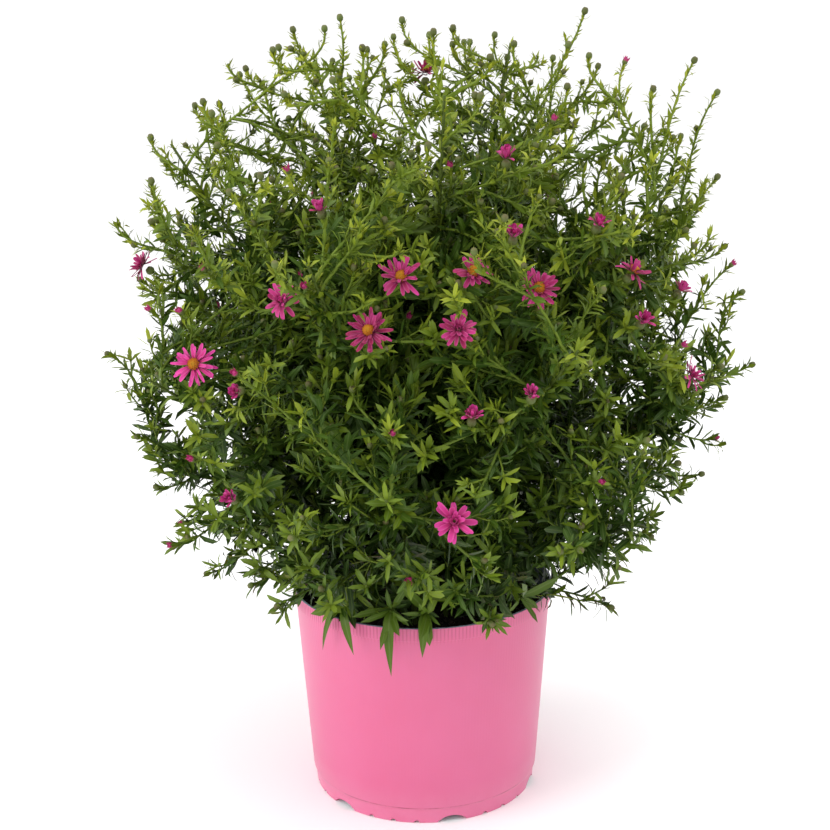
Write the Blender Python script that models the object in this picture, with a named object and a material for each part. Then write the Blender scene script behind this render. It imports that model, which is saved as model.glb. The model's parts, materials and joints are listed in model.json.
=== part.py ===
"""A potted aster: a tapered pot filled with soil, leafy stems rooted in it, and their blooms.

Metres, +Z up. The origin is on the pot's axis, in the plane that the foot stands on, and the
side shown at the front faces -Y.
"""
import math
import random

import bpy
import numpy as np
from mathutils import Vector
from mathutils.bvhtree import BVHTree

# Pot
RIM_RADIUS = 0.085
RIM_HEIGHT = 0.138
BAND_HEIGHT = 0.009
BAND_STEP = 0.0016
LIP = 0.0016
WALL = 0.0013
BASE_RADIUS = 0.075
BASE_HEIGHT = 0.011
CORNER_RISE = 0.003
CORNER_RUN = 0.006
FOOT_RADIUS = 0.073
FOOT_WIDTH = 0.004
FLOOR_RISE = 0.002
POT_SIDES = 36
FOOT_ARCHES = 6
FIRST_ARCH = math.radians(-16.5)
ARCH_WIDTH = 0.017
ARCH_HEIGHT = 0.0045
ARCH_TAPER = 0.8
CUT_PAST = 0.001
DRAIN_HOLES = 6
DRAIN_RING = 0.050
DRAIN_RADIUS = 0.004

# Soil
SOIL_HEIGHT = 0.121
SOIL_MOUND = 0.004
SOIL_LUMPS = 0.0012
SOIL_SIDES = 24
SOIL_RINGS = (0.75, 0.45)

# Foliage: a rounded block, with its centre on the pot's axis
PLANT_CENTRE = Vector((0.004, 0.0, 0.300))
PLANT_RADIUS = 0.200
PLANT_HALF_HEIGHT = 0.198
PLANT_POWER = 2.5
GOLDEN = math.radians(137.508)
SEED = 19
GAP = 0.0003

# Stems and shoots
STEMS = 20
ROOT_RING = 0.047
ROOT_DEPTH = 0.018
COLLAR_HEIGHT = SOIL_HEIGHT + SOIL_MOUND + 0.003
HOLE_RADIUS = 0.0028
HOLE_SIDES = 5
STEM_RADIUS = (0.0019, 0.0008)
SHOOT_RADIUS = (0.0009, 0.0006)
STEM_SIDES = 4
SHOOT_SIDES = 3
STEM_STEPS = 7
SHOOT_STEPS = 3
# A stem ends short of the plant's surface, first rises straight, and turns up at its tip
STEM_END = 0.93
STEM_RISE = (0.055, 0.10)
STEM_SPREAD = 0.25
STEM_UPTURN = 0.7
STEM_ARRIVAL = 0.35
SHOOT_UPTURN = 0.6
SHOOT_ALONG = 0.3
SHOOT_HANDLES = (0.35, 0.30)
BUD_RADIUS = 0.0023
BUD_LENGTH = 0.0052
CUP_RADIUS = 0.0027
CUP_LENGTH = 0.005
BEAD = 0.002
BEAD_GAP = 0.0008
BEAD_REACH = 0.006
WALL_KEEP = (0.010, 0.004, 0.003)
# How far a stem may be turned (radians) and lifted to miss a bloom
ASIDES = [
    (0, 0), (0.12, 0), (-0.12, 0), (0, 0.1), (0, -0.1),
    (0.22, 0.05), (-0.22, 0.05), (0.3, -0.1), (-0.3, -0.1),
]
STEM_LOW = -0.62
FILL_LOW = -0.86
JOINT_SHARES = (0.0, 0.33, 0.66)
JOINT_SPACING = 0.30
SHOOT_SPAN = (0.020, 0.150)
SHOOT_BEND = math.radians(75)
RIM_BEND = math.radians(112)
BEND_COST = 0.030
CROWD_COST = 0.006
OPEN_SEAT = 0.0025
CLOSED_SEAT = 0.0022

# Blooms: place (mm), the way each faces, and its width (mm)
OPEN_BLOOMS = [
    ((-126, -118, 312), (-0.15, -0.93, 0.33), 29), ((17, -166, 234), (0.05, -0.90, 0.43), 29),
    ((63, -150, 358), (0.05, -0.92, 0.38), 25), ((-10, -156, 366), (-0.05, -0.85, 0.52), 28),
    ((28, -150, 367), (0.15, -0.80, 0.58), 25), ((20, -164, 339), (0.00, -0.85, 0.52), 25),
    ((-27, -160, 338), (-0.25, -0.80, 0.55), 28), ((-74, -140, 351), (-0.35, -0.75, 0.56), 24),
    ((119, -103, 358), (0.55, -0.35, 0.76), 24), ((158, -78, 292), (0.80, -0.25, 0.55), 25),
    ((-62, 142, 352), (-0.30, 0.80, 0.52), 28), ((48, 160, 318), (0.20, 0.88, 0.43), 28),
    ((122, 112, 338), (0.60, 0.62, 0.50), 26), ((-138, 98, 296), (-0.72, 0.55, 0.43), 27),
    ((-168, -22, 352), (-0.80, -0.05, 0.60), 25), ((6, 36, 462), (0.05, 0.30, 0.95), 26),
]
CLOSED_BLOOMS = [
    ((48, -112, 424), (0.05, -0.20, 0.98), 12), ((27, -166, 293), (0.10, -0.45, 0.89), 10),
    ((59, -160, 303), (0.10, -0.55, 0.83), 9), ((-109, -120, 234), (-0.35, -0.80, 0.49), 10),
    ((-101, -136, 301), (-0.30, -0.75, 0.20), 9), ((-53, -132, 400), (-0.20, -0.50, 0.84), 9),
    ((125, -110, 332), (0.35, -0.60, 0.72), 10), ((150, -85, 345), (0.50, -0.30, 0.81), 9),
    ((98, -118, 388), (0.30, -0.35, 0.89), 10), ((50, -142, 386), (0.05, -0.55, 0.84), 10),
    ((92, 130, 372), (0.35, 0.50, 0.79), 10), ((-100, 118, 372), (-0.40, 0.45, 0.80), 10),
]
# The open blooms that show their yellow discs, by their order above
DISC_BLOOMS = (0, 2, 3, 4, 6, 8, 10, 11, 13, 15)
# Petals: how many, the lift and length of the lower and upper layer, the radius of the notch
# between two petals and of their shoulders, the spread of those, and the heights of the core
OPEN_PETALS = (14, ((0.14, 1.0), (0.46, 0.84)), (0.30, 0.80, 0.34), (0.0012, -0.0022))
CLOSED_PETALS = (6, ((1.9, 1.0), (2.3, 0.8)), (0.55, 0.80, 0.38), (0.0008, -0.0019))
DISC_SIDES = 7
DISC_FOOT = 0.0015
# The radius and height of each ring of a disc, and of its top
DISC_RINGS = ((0.0034, 0.0029), (0.0021, 0.0040), (0, 0.0045))

# Shoots that make the outline seen from the front: x and z (mm), near the plane y = 0
EDGE_TIPS = [
    (-74, 488), (-104, 465), (-119, 445), (-155, 412), (-160, 376), (-178, 333), (-193, 294),
    (-176, 243), (-167, 208), (-151, 184), (-138, 148), (-108, 150), (-44, 495), (-8, 493),
    (22, 488), (55, 470), (99, 497), (122, 468), (164, 468), (182, 448), (182, 398), (192, 352),
    (205, 322), (208, 280), (182, 238), (182, 203), (150, 160), (116, 150),
]
# Buds with a coloured tip, in front
FRONT_BUDS = [
    (147, -100, 314), (97, -140, 247), (-15, -172, 285), (-155, -72, 333), (-118, -112, 363),
    (-70, -112, 416), (-60, -150, 359), (125, -118, 358), (75, -85, 439), (-132, -108, 339),
]
# Shoots that lie over the front of the rim
RIM_TIPS = [(-51, -70, 147), (-20, -84, 149), (2, -86, 148), (62, -68, 150)]
# Shoots that fill the rest, between two shares of the way to the surface
FILL_TIPS = 84
FILL_DEPTH = (0.86, 0.98)
EDGE_DEPTH = 0.03
TIP_SPACING = 0.027
EDGE_SPACING = 0.008
# No filling shoot ends this near to the pot: its distance from the axis and its height
POT_ZONE = (0.097, 0.163)

# Leaves: length at the foot and at the top of the plant, and width as a share of length
LEAF_LENGTH = (0.032, 0.020)
LEAF_TAPER = 0.7
LEAF_WIDTH = 0.21
LEAF_DROOP = 0.20
LEAF_FOLD = 0.05
LEAF_WAIST = 0.42
# They stand in whorls, one on each side of the stalk, and each whorl is turned against the last.
# The whorls' places in steps of the stalk: of two stems in turn, and of shoots over a length
STEM_WHORLS = ((2, 4, 5, 6, 7), (3, 4, 5, 6, 7))
SHOOT_WHORLS = ((0.100, (1, 2)), (0.045, (2,)), (0, ()))
WHORL_FOOT = 0.0030
# How far a leaf leans from its stalk, how far it is swung sideways and its length as a share of
# the usual one; where it has no room others of each are tried
LEAF_LEAN = (math.radians(40), math.radians(72))
LEAF_SWING = math.radians(28)
LEAF_SHARE = (0.85, 1.15)
LEAF_TRIES = 20
LEAF_SHRINK = 0.96
LEAF_ROOM = 0.0004
# Leaves end above the soil, near the plant's surface and inside its width and depth
LEAF_FLOOR = 0.126
LEAF_DEPTH = 1.08
LEAF_LIMITS = ((-0.2045, 0.2126), (-0.1861, 0.1893))
# Leaves that hang over the front of the rim: the shoot by its order above, the top of the
# leaf's bend, its tip and its width (mm)
RIM_LEAVES = [
    (0, (-60, -73, 146), (-63, -65, 116), 5), (0, (-49, -86, 145), (-43, -80, 119), 6),
    (1, (-23, -97, 150), (-20, -90, 109), 7), (2, (0, -99, 150), (-1, -92, 122), 7),
]
RIM_LEAF_SINK = 0.003
RIM_LEAF_RISE = 0.0009
RIM_LEAF_CUTS = ((0.35, 1.0), (0.72, 0.78))

PINK = (0.83, 0.18, 0.40)
SOIL_BROWN = (0.035, 0.022, 0.014)
LEAF_GREEN = (0.105, 0.190, 0.035)
PETAL_MAGENTA = (0.62, 0.035, 0.27)
DISC_YELLOW = (0.75, 0.38, 0.03)


def clear_scene():
    for item in list(bpy.data.objects):
        bpy.data.objects.remove(item)


def millimetres(point):
    return Vector(point) / 1000


def paint(item, name, colour, roughness):
    """Gives an object its own Principled material."""
    material = bpy.data.materials.new(name)
    material.use_nodes = True
    shader = material.node_tree.nodes["Principled BSDF"]
    shader.inputs["Base Color"].default_value = (*colour, 1)
    shader.inputs["Roughness"].default_value = roughness
    item.data.materials.clear()
    item.data.materials.append(material)


def solid(name, verts, faces, collection=None):
    """A new object from points and faces."""
    mesh = bpy.data.meshes.new(name)
    mesh.from_pydata([tuple(v) for v in verts], [], faces)
    mesh.update()
    item = bpy.data.objects.new(name, mesh)
    (collection or bpy.context.scene.collection).objects.link(item)
    return item


def combine(base, parts, operation, solver):
    """One Boolean of the base with all the parts, which are closed solids, then they go."""
    tools = bpy.data.collections.new(base.name + "_repeats")
    bpy.context.scene.collection.children.link(tools)
    for number, (verts, faces) in enumerate(parts):
        solid(f"{base.name}_{number}", verts, faces, tools)
    modifier = base.modifiers.new("repeats", "BOOLEAN")
    modifier.operation = operation
    modifier.operand_type = "COLLECTION"
    modifier.collection = tools
    modifier.solver = solver
    bpy.context.view_layer.update()
    evaluated = base.evaluated_get(bpy.context.evaluated_depsgraph_get())
    mesh = bpy.data.meshes.new_from_object(evaluated)
    base.modifiers.clear()
    base.data = mesh
    for item in list(tools.objects):
        bpy.data.objects.remove(item)
    bpy.data.collections.remove(tools)


def lathe(profile, sides):
    """Points and faces of a closed profile of (radius, height) turned about Z.

    The profile runs up the outside and down the inside, and starts and ends on the axis.
    """
    verts, rings = [], []
    for radius, height in profile:
        if radius == 0:
            rings.append([len(verts)])
            verts.append((0, 0, height))
            continue
        rings.append(list(range(len(verts), len(verts) + sides)))
        for i in range(sides):
            turn = 2 * math.pi * i / sides
            verts.append((radius * math.cos(turn), radius * math.sin(turn), height))
    faces = []
    for low, high in zip(rings, rings[1:]):
        for i in range(sides):
            j = (i + 1) % sides
            if len(low) == 1:
                faces.append((low[0], high[j], high[i]))
            elif len(high) == 1:
                faces.append((low[i], low[j], high[0]))
            else:
                faces.append((low[i], low[j], high[j], high[i]))
    return verts, faces


def prism(centre, radius, bottom, top, sides):
    """An upright prism, used as a cutter."""
    verts = []
    for height in (bottom, top):
        for i in range(sides):
            turn = 2 * math.pi * i / sides
            x, y = centre[0] + radius * math.cos(turn), centre[1] + radius * math.sin(turn)
            verts.append((x, y, height))
    faces = [tuple(reversed(range(sides))), tuple(range(sides, 2 * sides))]
    for i in range(sides):
        j = (i + 1) % sides
        faces.append((i, j, sides + j, sides + i))
    return verts, faces


def arch_cutter(turn):
    """A low block that opens the foot ring at one place."""
    out = Vector((math.cos(turn), math.sin(turn), 0))
    side = Vector((-out.y, out.x, 0)) * ARCH_WIDTH / 2
    inner = FOOT_RADIUS - FOOT_WIDTH - 3 * CUT_PAST
    outer = FOOT_RADIUS + 4 * CUT_PAST
    verts = []
    for height, half in ((-CUT_PAST, 1.0), (ARCH_HEIGHT, ARCH_TAPER)):
        for radius, sign in ((inner, -1), (outer, -1), (outer, 1), (inner, 1)):
            verts.append(out * radius + side * sign * half + Vector((0, 0, height)))
    faces = [(3, 2, 1, 0), (4, 5, 6, 7), (0, 1, 5, 4), (1, 2, 6, 5), (2, 3, 7, 6), (3, 0, 4, 7)]
    return verts, faces


def wall_radius(height):
    """Outer radius of the tapered wall at a height."""
    share = (height - BASE_HEIGHT) / (RIM_HEIGHT - BAND_HEIGHT - BASE_HEIGHT)
    return BASE_RADIUS + (RIM_RADIUS - BAND_STEP - BASE_RADIUS) * share


def inner_floor():
    """Radius and height where the inside's floor ends and its sloped corner starts."""
    return FOOT_RADIUS - FOOT_WIDTH - CORNER_RUN, FLOOR_RISE + WALL


def make_pot():
    """The pot: a tapered wall, a raised band under the rim, and a foot ring with low arches."""
    floor_radius, floor_height = inner_floor()
    band_foot = RIM_HEIGHT - BAND_HEIGHT
    corner = BASE_HEIGHT + CORNER_RISE
    profile = [
        (0, FLOOR_RISE),
        (FOOT_RADIUS - FOOT_WIDTH, FLOOR_RISE),
        (FOOT_RADIUS - FOOT_WIDTH, 0),
        (FOOT_RADIUS, 0),
        (FOOT_RADIUS + 0.0008, BASE_HEIGHT - 0.001),
        (BASE_RADIUS, BASE_HEIGHT),
        (wall_radius(band_foot), band_foot),
        (RIM_RADIUS - 0.0003, band_foot + 0.0004),
        (RIM_RADIUS, RIM_HEIGHT - 0.0005),
        (RIM_RADIUS - 0.0005, RIM_HEIGHT),
        (RIM_RADIUS - LIP, RIM_HEIGHT),
        (wall_radius(band_foot) - WALL, band_foot),
        (wall_radius(corner) - WALL, corner),
        (floor_radius, floor_height),
        (0, floor_height),
    ]
    pot = solid("pot", *lathe(profile, POT_SIDES))
    cutters = [arch_cutter(FIRST_ARCH + 2 * math.pi * i / FOOT_ARCHES) for i in range(FOOT_ARCHES)]
    for i in range(DRAIN_HOLES):
        turn = 2 * math.pi * i / DRAIN_HOLES
        centre = (DRAIN_RING * math.cos(turn), DRAIN_RING * math.sin(turn))
        cutters.append(prism(centre, DRAIN_RADIUS, -CUT_PAST, floor_height + CUT_PAST, 6))
    combine(pot, cutters, "DIFFERENCE", "EXACT")
    paint(pot, "moulded pink polypropylene", PINK, 0.42)
    return pot


def soil_inside(height):
    """Radius of the soil, a gap short of the pot's inside."""
    return wall_radius(height) - WALL - GAP


def make_soil(roots):
    """Potting soil, slightly mounded and lumpy, with a plain hole for each stem."""
    floor_radius, floor_height = inner_floor()
    corner = BASE_HEIGHT + CORNER_RISE
    edge = soil_inside(SOIL_HEIGHT)
    profile = [(0, floor_height + GAP), (floor_radius - GAP, floor_height + GAP)]
    profile.append((soil_inside(corner) - GAP, corner + GAP))
    profile.append((edge, SOIL_HEIGHT))
    profile += [(edge * share, SOIL_HEIGHT + SOIL_MOUND * (1 - share ** 2)) for share in SOIL_RINGS]
    profile.append((0, SOIL_HEIGHT + SOIL_MOUND))
    verts, faces = lathe(profile, SOIL_SIDES)
    draw = random.Random(SEED)
    for i, (x, y, z) in enumerate(verts):
        if z > SOIL_HEIGHT:
            verts[i] = (x, y, z + draw.uniform(-SOIL_LUMPS, SOIL_LUMPS))
    soil = solid("soil", verts, faces)
    bottom = SOIL_HEIGHT - ROOT_DEPTH - GAP
    holes = [prism(root, HOLE_RADIUS, bottom, COLLAR_HEIGHT + ROOT_DEPTH, HOLE_SIDES) for root in roots]
    combine(soil, holes, "DIFFERENCE", "EXACT")
    paint(soil, "potting soil", SOIL_BROWN, 0.95)
    return soil


def reach(direction):
    """Distance from the plant's centre to its outer surface along a unit direction."""
    across = math.hypot(direction.x, direction.y) / PLANT_RADIUS
    upward = abs(direction.z) / PLANT_HALF_HEIGHT
    return (across ** PLANT_POWER + upward ** PLANT_POWER) ** (-1 / PLANT_POWER)


def spiral(count, low):
    """Directions spread evenly over a sphere, down to the height low on it."""
    for i in range(count):
        z = 1 - (1 - low) * (i + 0.5) / count
        across = math.sqrt(1 - z * z)
        yield Vector((across * math.cos(i * GOLDEN), across * math.sin(i * GOLDEN), z))


def curve(p0, p1, p2, p3, steps):
    """Points along a cubic Bezier curve."""
    points = []
    for i in range(steps + 1):
        t = i / steps
        s = 1 - t
        points.append(p0 * s ** 3 + p1 * 3 * s * s * t + p2 * 3 * s * t * t + p3 * t ** 3)
    return points


class Shoot:
    """A round stalk: its points, its radius at each, its stem's number and where whorls stand."""

    def __init__(self, points, radii, stem, whorls):
        self.points = points
        self.radii = radii
        self.stem = stem
        self.whorls = whorls


class Beads:
    """Beads strung along everything placed so far, to keep new stalks clear of it."""

    def __init__(self):
        self.strings = {}

    def string(self, points, radii):
        """Beads a fixed distance apart along straight runs."""
        beads = []
        for a, b, ra, rb in zip(points, points[1:], radii, radii[1:]):
            count = max(1, math.ceil((b - a).length / BEAD))
            for i in range(count + 1):
                share = i / count
                beads.append((*(a + (b - a) * share), ra + (rb - ra) * share))
        return np.array(beads)

    def add(self, owner, beads):
        held = self.strings.get(owner)
        self.strings[owner] = beads if held is None else np.vstack((held, beads))

    def clear(self, beads, friends):
        """True where no bead comes near one of another owner."""
        for owner, held in self.strings.items():
            if owner in friends:
                continue
            if (held[:, :3].min(axis=0) > beads[:, :3].max(axis=0) + BEAD_REACH).any():
                continue
            if (held[:, :3].max(axis=0) < beads[:, :3].min(axis=0) - BEAD_REACH).any():
                continue
            gap = np.linalg.norm(held[None, :, :3] - beads[:, None, :3], axis=2)
            if (gap - held[None, :, 3] - beads[:, None, 3] < BEAD_GAP).any():
                return False
        return True


def rim_clear(beads):
    """True where a stalk keeps off the pot's wall and rim."""
    inside, outside, above = WALL_KEEP
    across = np.hypot(beads[:, 0], beads[:, 1])
    near_wall = (across > RIM_RADIUS - inside) & (across < RIM_RADIUS + outside)
    return not (near_wall & (beads[:, 2] < RIM_HEIGHT + above)).any()


def bloom_beads(place, facing, width):
    """Beads over a bloom's round face."""
    turn = facing.to_track_quat("Z", "Y")
    beads = [(*place, 0.003)]
    for share, count in ((0.25, 5), (0.5, 10), (0.75, 15), (1.0, 20)):
        for i in range(count):
            angle = 2 * math.pi * i / count
            spoke = Vector((math.cos(angle), math.sin(angle), 0.25)) * width / 2 * share
            beads.append((*(place + turn @ spoke), 0.0022))
    return np.array(beads)


def bloom_list():
    """Every bloom as (name, place, facing, width), open ones first."""
    blooms = []
    for kind, group in (("open", OPEN_BLOOMS), ("closed", CLOSED_BLOOMS)):
        for number, (place, facing, width) in enumerate(group, 1):
            name = f"{kind}_{number:02d}"
            blooms.append((name, millimetres(place), Vector(facing).normalized(), width / 1000))
    return blooms


def root_places():
    """Where the stems rise above the soil: the turns of a sunflower's seeds."""
    places = []
    for i in range(STEMS):
        radius = ROOT_RING * math.sqrt((i + 0.5) / STEMS)
        x, y = radius * math.cos(i * GOLDEN), radius * math.sin(i * GOLDEN)
        places.append(Vector((x, y, COLLAR_HEIGHT)))
    return places


def stem_route(root, direction):
    """A stem from under the soil, up and then outwards to the plant's surface."""
    tip = PLANT_CENTRE + direction * reach(direction) * STEM_END
    rise = STEM_RISE[0] + STEM_RISE[1] * max(0, direction.z)
    facing = (direction + Vector((0, 0, STEM_UPTURN))).normalized()
    handle = root + Vector((root.x * STEM_SPREAD, root.y * STEM_SPREAD, rise))
    arrival = tip - facing * (tip - root).length * STEM_ARRIVAL
    points = [Vector((root.x, root.y, SOIL_HEIGHT - ROOT_DEPTH))]
    points += curve(root, handle, arrival, tip, STEM_STEPS)
    thick, thin = STEM_RADIUS
    radii = [thick] + [thick + (thin - thick) * i / STEM_STEPS for i in range(STEM_STEPS + 1)]
    return points, radii


def grow_stems(beads):
    """The main stems, each turned aside a little where it would meet a bloom."""
    stems = []
    for number, (root, direction) in enumerate(zip(root_places(), spiral(STEMS, STEM_LOW))):
        for turn, lift in ASIDES:
            around = math.atan2(direction.y, direction.x) + turn
            flat = math.hypot(direction.x, direction.y)
            aside = Vector((flat * math.cos(around), flat * math.sin(around), direction.z + lift))
            points, radii = stem_route(root, aside.normalized())
            string = beads.string(points, radii)
            if beads.clear(string, ()):
                break
        beads.add(number, string)
        stems.append(Shoot(points, radii, number, STEM_WHORLS[number % len(STEM_WHORLS)]))
    return stems


def joints(stem, tip, widest):
    """Where a shoot to the tip may leave a stem: (cost, stem, how far up, place, direction)."""
    found = []
    for i in range(1, STEM_STEPS + 1):
        along = (stem.points[i + 1] - stem.points[i]).normalized()
        for share in JOINT_SHARES:
            joint = stem.points[i].lerp(stem.points[i + 1], share)
            span = tip - joint
            bend = span.angle(along)
            if SHOOT_SPAN[0] < span.length < SHOOT_SPAN[1] and bend < widest:
                found.append((span.length + BEND_COST * bend, stem.stem, i + share, joint, along))
    return found


def shoot_route(joint, along, tip, facing, kind):
    """Points and radii of a shoot, with the bud or the green cup at its tip."""
    span = (tip - joint).length
    first, last = SHOOT_HANDLES
    leaving = (along * SHOOT_ALONG + (tip - joint).normalized()).normalized()
    points = curve(joint, joint + leaving * span * first, tip - facing * span * last, tip, SHOOT_STEPS)
    thick, thin = SHOOT_RADIUS
    radii = [thick + (thin - thick) * i / SHOOT_STEPS for i in range(SHOOT_STEPS + 1)]
    if kind == "bud":
        points += [tip + facing * BUD_LENGTH * 0.5, tip + facing * BUD_LENGTH]
        radii += [BUD_RADIUS, 0.0]
    elif kind == "bloom":
        points[-1] = tip - facing * CUP_LENGTH
        points += [tip - facing * CUP_LENGTH * 0.35, tip]
        radii += [CUP_RADIUS * 0.85, CUP_RADIUS]
    return points, radii


def grow_shoot(stems, beads, taken, tip, facing, kind, friend=None):
    """A side shoot to a tip, from the nearest stem that it can leave at an easy angle."""
    widest = RIM_BEND if kind == "rim" else SHOOT_BEND
    choices = []
    for stem in stems:
        for cost, number, place, joint, along in joints(stem, tip, widest):
            if min([abs(place - other) for other in taken[number]] + [STEM_STEPS]) >= JOINT_SPACING:
                choices.append((cost + CROWD_COST * len(taken[number]), number, place, joint, along))
    choices.sort(key=lambda choice: choice[:3])
    for cost, number, place, joint, along in choices:
        points, radii = shoot_route(joint, along, tip, facing, kind)
        string = beads.string(points, radii)
        if rim_clear(string) and beads.clear(string, (number, friend)):
            beads.add(number, string)
            taken[number].append(place)
            span = (tip - joint).length
            whorls = next(places for least, places in SHOOT_WHORLS if span > least)
            return Shoot(points, radii, number, whorls)
    return None


def wanted_tips():
    """The tips of the shoots that end in a bud or in leaves, as (place, kind), in order."""
    draw = random.Random(SEED)
    wanted = [(millimetres(place), "bud") for place in FRONT_BUDS]
    for x, z in EDGE_TIPS:
        wanted.append((Vector((x / 1000, draw.uniform(-EDGE_DEPTH, EDGE_DEPTH), z / 1000)), "bud"))
    for direction in spiral(FILL_TIPS, FILL_LOW):
        place = PLANT_CENTRE + direction * reach(direction) * draw.uniform(*FILL_DEPTH)
        if math.hypot(place.x, place.y) > POT_ZONE[0] or place.z > POT_ZONE[1]:
            wanted.append((place, "fill"))
    return wanted


def grow():
    """Every stem, shoot and bloom of the plant."""
    beads = Beads()
    blooms = bloom_list()
    for name, place, facing, width in blooms:
        beads.add(name, bloom_beads(place, facing, width))
    stems = grow_stems(beads)
    taken = [[] for _ in range(STEMS)]
    shoots = []
    for place in RIM_TIPS:
        tip = millimetres(place)
        outward = Vector((tip.x, tip.y, 0)).normalized()
        shoots.append(grow_shoot(stems, beads, taken, tip, outward, "rim"))
    for name, place, facing, width in blooms:
        seat = OPEN_SEAT if name.startswith("open") else CLOSED_SEAT
        shoots.append(grow_shoot(stems, beads, taken, place - facing * seat, facing, "bloom", name))
    tips = [place for _, place, _, _ in blooms]
    for place, kind in wanted_tips():
        spacing = TIP_SPACING if kind == "fill" else EDGE_SPACING
        if min((place - other).length for other in tips) < spacing:
            continue
        outward = (place - PLANT_CENTRE).normalized()
        facing = (outward + Vector((0, 0, SHOOT_UPTURN))).normalized()
        shoot = grow_shoot(stems, beads, taken, place, facing, "bud")
        if shoot is not None:
            shoots.append(shoot)
            tips.append(place)
    return stems, shoots, blooms


def rings(stalk, sides):
    """The corner points of each ring of a stalk, and which rings are the foot of a whorl.

    Two rings stand close together at each whorl. Where the radius is 0 the ring is one point.
    """
    found, feet = [], []
    side = (stalk.points[1] - stalk.points[0]).orthogonal().normalized()
    twist = 0.0
    last = len(stalk.points) - 1
    for i, (point, radius) in enumerate(zip(stalk.points, stalk.radii)):
        ahead = (stalk.points[min(i + 1, last)] - stalk.points[max(i - 1, 0)]).normalized()
        side = (side - ahead * side.dot(ahead)).normalized()
        up = ahead.cross(side)
        if radius == 0:
            found.append([point])
            continue
        offsets = (0.0,)
        if i in stalk.whorls:
            twist += math.pi / sides
            feet.append(len(found))
            offsets = (-WHORL_FOOT / 2, WHORL_FOOT / 2)
        turns = [twist + 2 * math.pi * k / sides for k in range(sides)]
        spokes = [(side * math.cos(turn) + up * math.sin(turn)) * radius for turn in turns]
        for offset in offsets:
            found.append([point + ahead * offset + spoke for spoke in spokes])
    return found, feet


def leafy_tube(found, leaves):
    """Points and faces of a stalk; its leaves, as (ring, side, points), grow out of it.

    Where the stalk twists, each of its sides is split along the diagonal that bulges outwards.
    """
    verts = [corner for ring in found for corner in ring]
    firsts = [sum(len(ring) for ring in found[:i]) for i in range(len(found))]
    sides = len(found[0])
    faces = [tuple(reversed(range(sides)))]
    grown = {(ring, k): tips for ring, k, tips in leaves}
    for i, (first, ring) in enumerate(zip(firsts[1:], found[1:])):
        for k in range(sides):
            j = (k + 1) % sides
            a, b = firsts[i] + k, firsts[i] + j
            if len(ring) == 1:
                faces.append((a, b, first))
            elif (i, k) in grown:
                verts += grown[i, k]
                faces += leaf_faces((a, b, first + j, first + k), len(verts) - 3)
            else:
                faces += [(a, b, first + k), (b, first + j, first + k)]
    if len(found[-1]) > 1:
        faces.append(tuple(range(firsts[-1], firsts[-1] + sides)))
    return verts, faces


def leaf_faces(foot, first):
    """The triangles of a leaf: from its foot's corners and its tip, left and right points."""
    a, b, c, d = foot
    tip, left, right = first, first + 1, first + 2
    return [
        (a, b, tip), (c, d, tip), (b, c, right), (c, tip, right), (tip, b, right),
        (d, a, left), (a, tip, left), (tip, d, left),
    ]


def leaf_tips(corners, length, lean, swing, margin):
    """The tip, left and right points of a leaf that stands on four corners of a stalk."""
    a, b, c, d = corners
    foot = (a + b + c + d) / 4
    along = (c + d - a - b).normalized()
    side = (b - a).normalized()
    out = side.cross(along).normalized()
    flat = out * math.cos(swing) + side * math.sin(swing)
    heading = along * math.cos(lean) + flat * math.sin(lean)
    tip = foot + heading * (length + margin) - Vector((0, 0, length * LEAF_DROOP))
    across = (side - heading * side.dot(heading)).normalized()
    above = (along - heading * along.dot(heading)).normalized()
    waist = foot + heading * length * LEAF_WAIST + above * length * LEAF_FOLD
    half = across * (length * LEAF_WIDTH / 2 + margin)
    return [tip, waist - half, waist + half]


def blade(root, bend, tip, width, rise, cuts):
    """An arched leaf: flat below, with its midrib raised, and wide at each cut of its length."""
    verts, faces = [root], []
    for share, spread in cuts:
        rest = 1 - share
        centre = root * rest * rest + bend * 2 * rest * share + tip * share * share
        along = ((bend - root) * rest + (tip - bend) * share).normalized()
        side = along.cross(Vector((0, 0, 1)))
        if side.length < 0.2:
            side = along.cross(Vector((1, 0, 0)))
        side.normalize()
        up = side.cross(along)
        half = width / 2 * spread
        below = centre - up * rise / 2
        verts += [below - side * half, centre + up * rise / 2, below + side * half]
    verts.append(tip)
    last = len(verts) - 1
    faces += [(0, 2, 1), (0, 3, 2), (0, 1, 3)]
    for i in range(len(cuts) - 1):
        a, b, c = 1 + 3 * i, 2 + 3 * i, 3 + 3 * i
        faces += [(a, b, b + 3), (a, b + 3, a + 3), (b, c, c + 3), (b, c + 3, b + 3)]
        faces += [(c, a, a + 3), (c, a + 3, c + 3)]
    a = last - 3
    faces += [(a, a + 1, last), (a + 1, a + 2, last), (a + 2, a, last)]
    return verts, faces


class Room:
    """The solids placed so far, to try whether a leaf has room."""

    def __init__(self):
        self.solids = []

    def add(self, owner, verts, faces):
        points = np.array([tuple(v) for v in verts])
        centre = (points.min(axis=0) + points.max(axis=0)) / 2
        radius = np.linalg.norm(points - centre, axis=1).max()
        tree = BVHTree.FromPolygons([tuple(v) for v in verts], faces)
        self.solids.append((owner, Vector(centre), radius, tree))

    def free(self, verts, faces, carrier):
        """True where the shape crosses nothing but what carries it."""
        points = np.array([tuple(v) for v in verts])
        centre = Vector((points.min(axis=0) + points.max(axis=0)) / 2)
        radius = max((Vector(p) - centre).length for p in points)
        tree = None
        for owner, middle, size, other in self.solids:
            if owner == carrier or (middle - centre).length > size + radius:
                continue
            if tree is None:
                tree = BVHTree.FromPolygons([tuple(v) for v in verts], faces)
            if tree.overlap(other):
                return False
        return True


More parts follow.
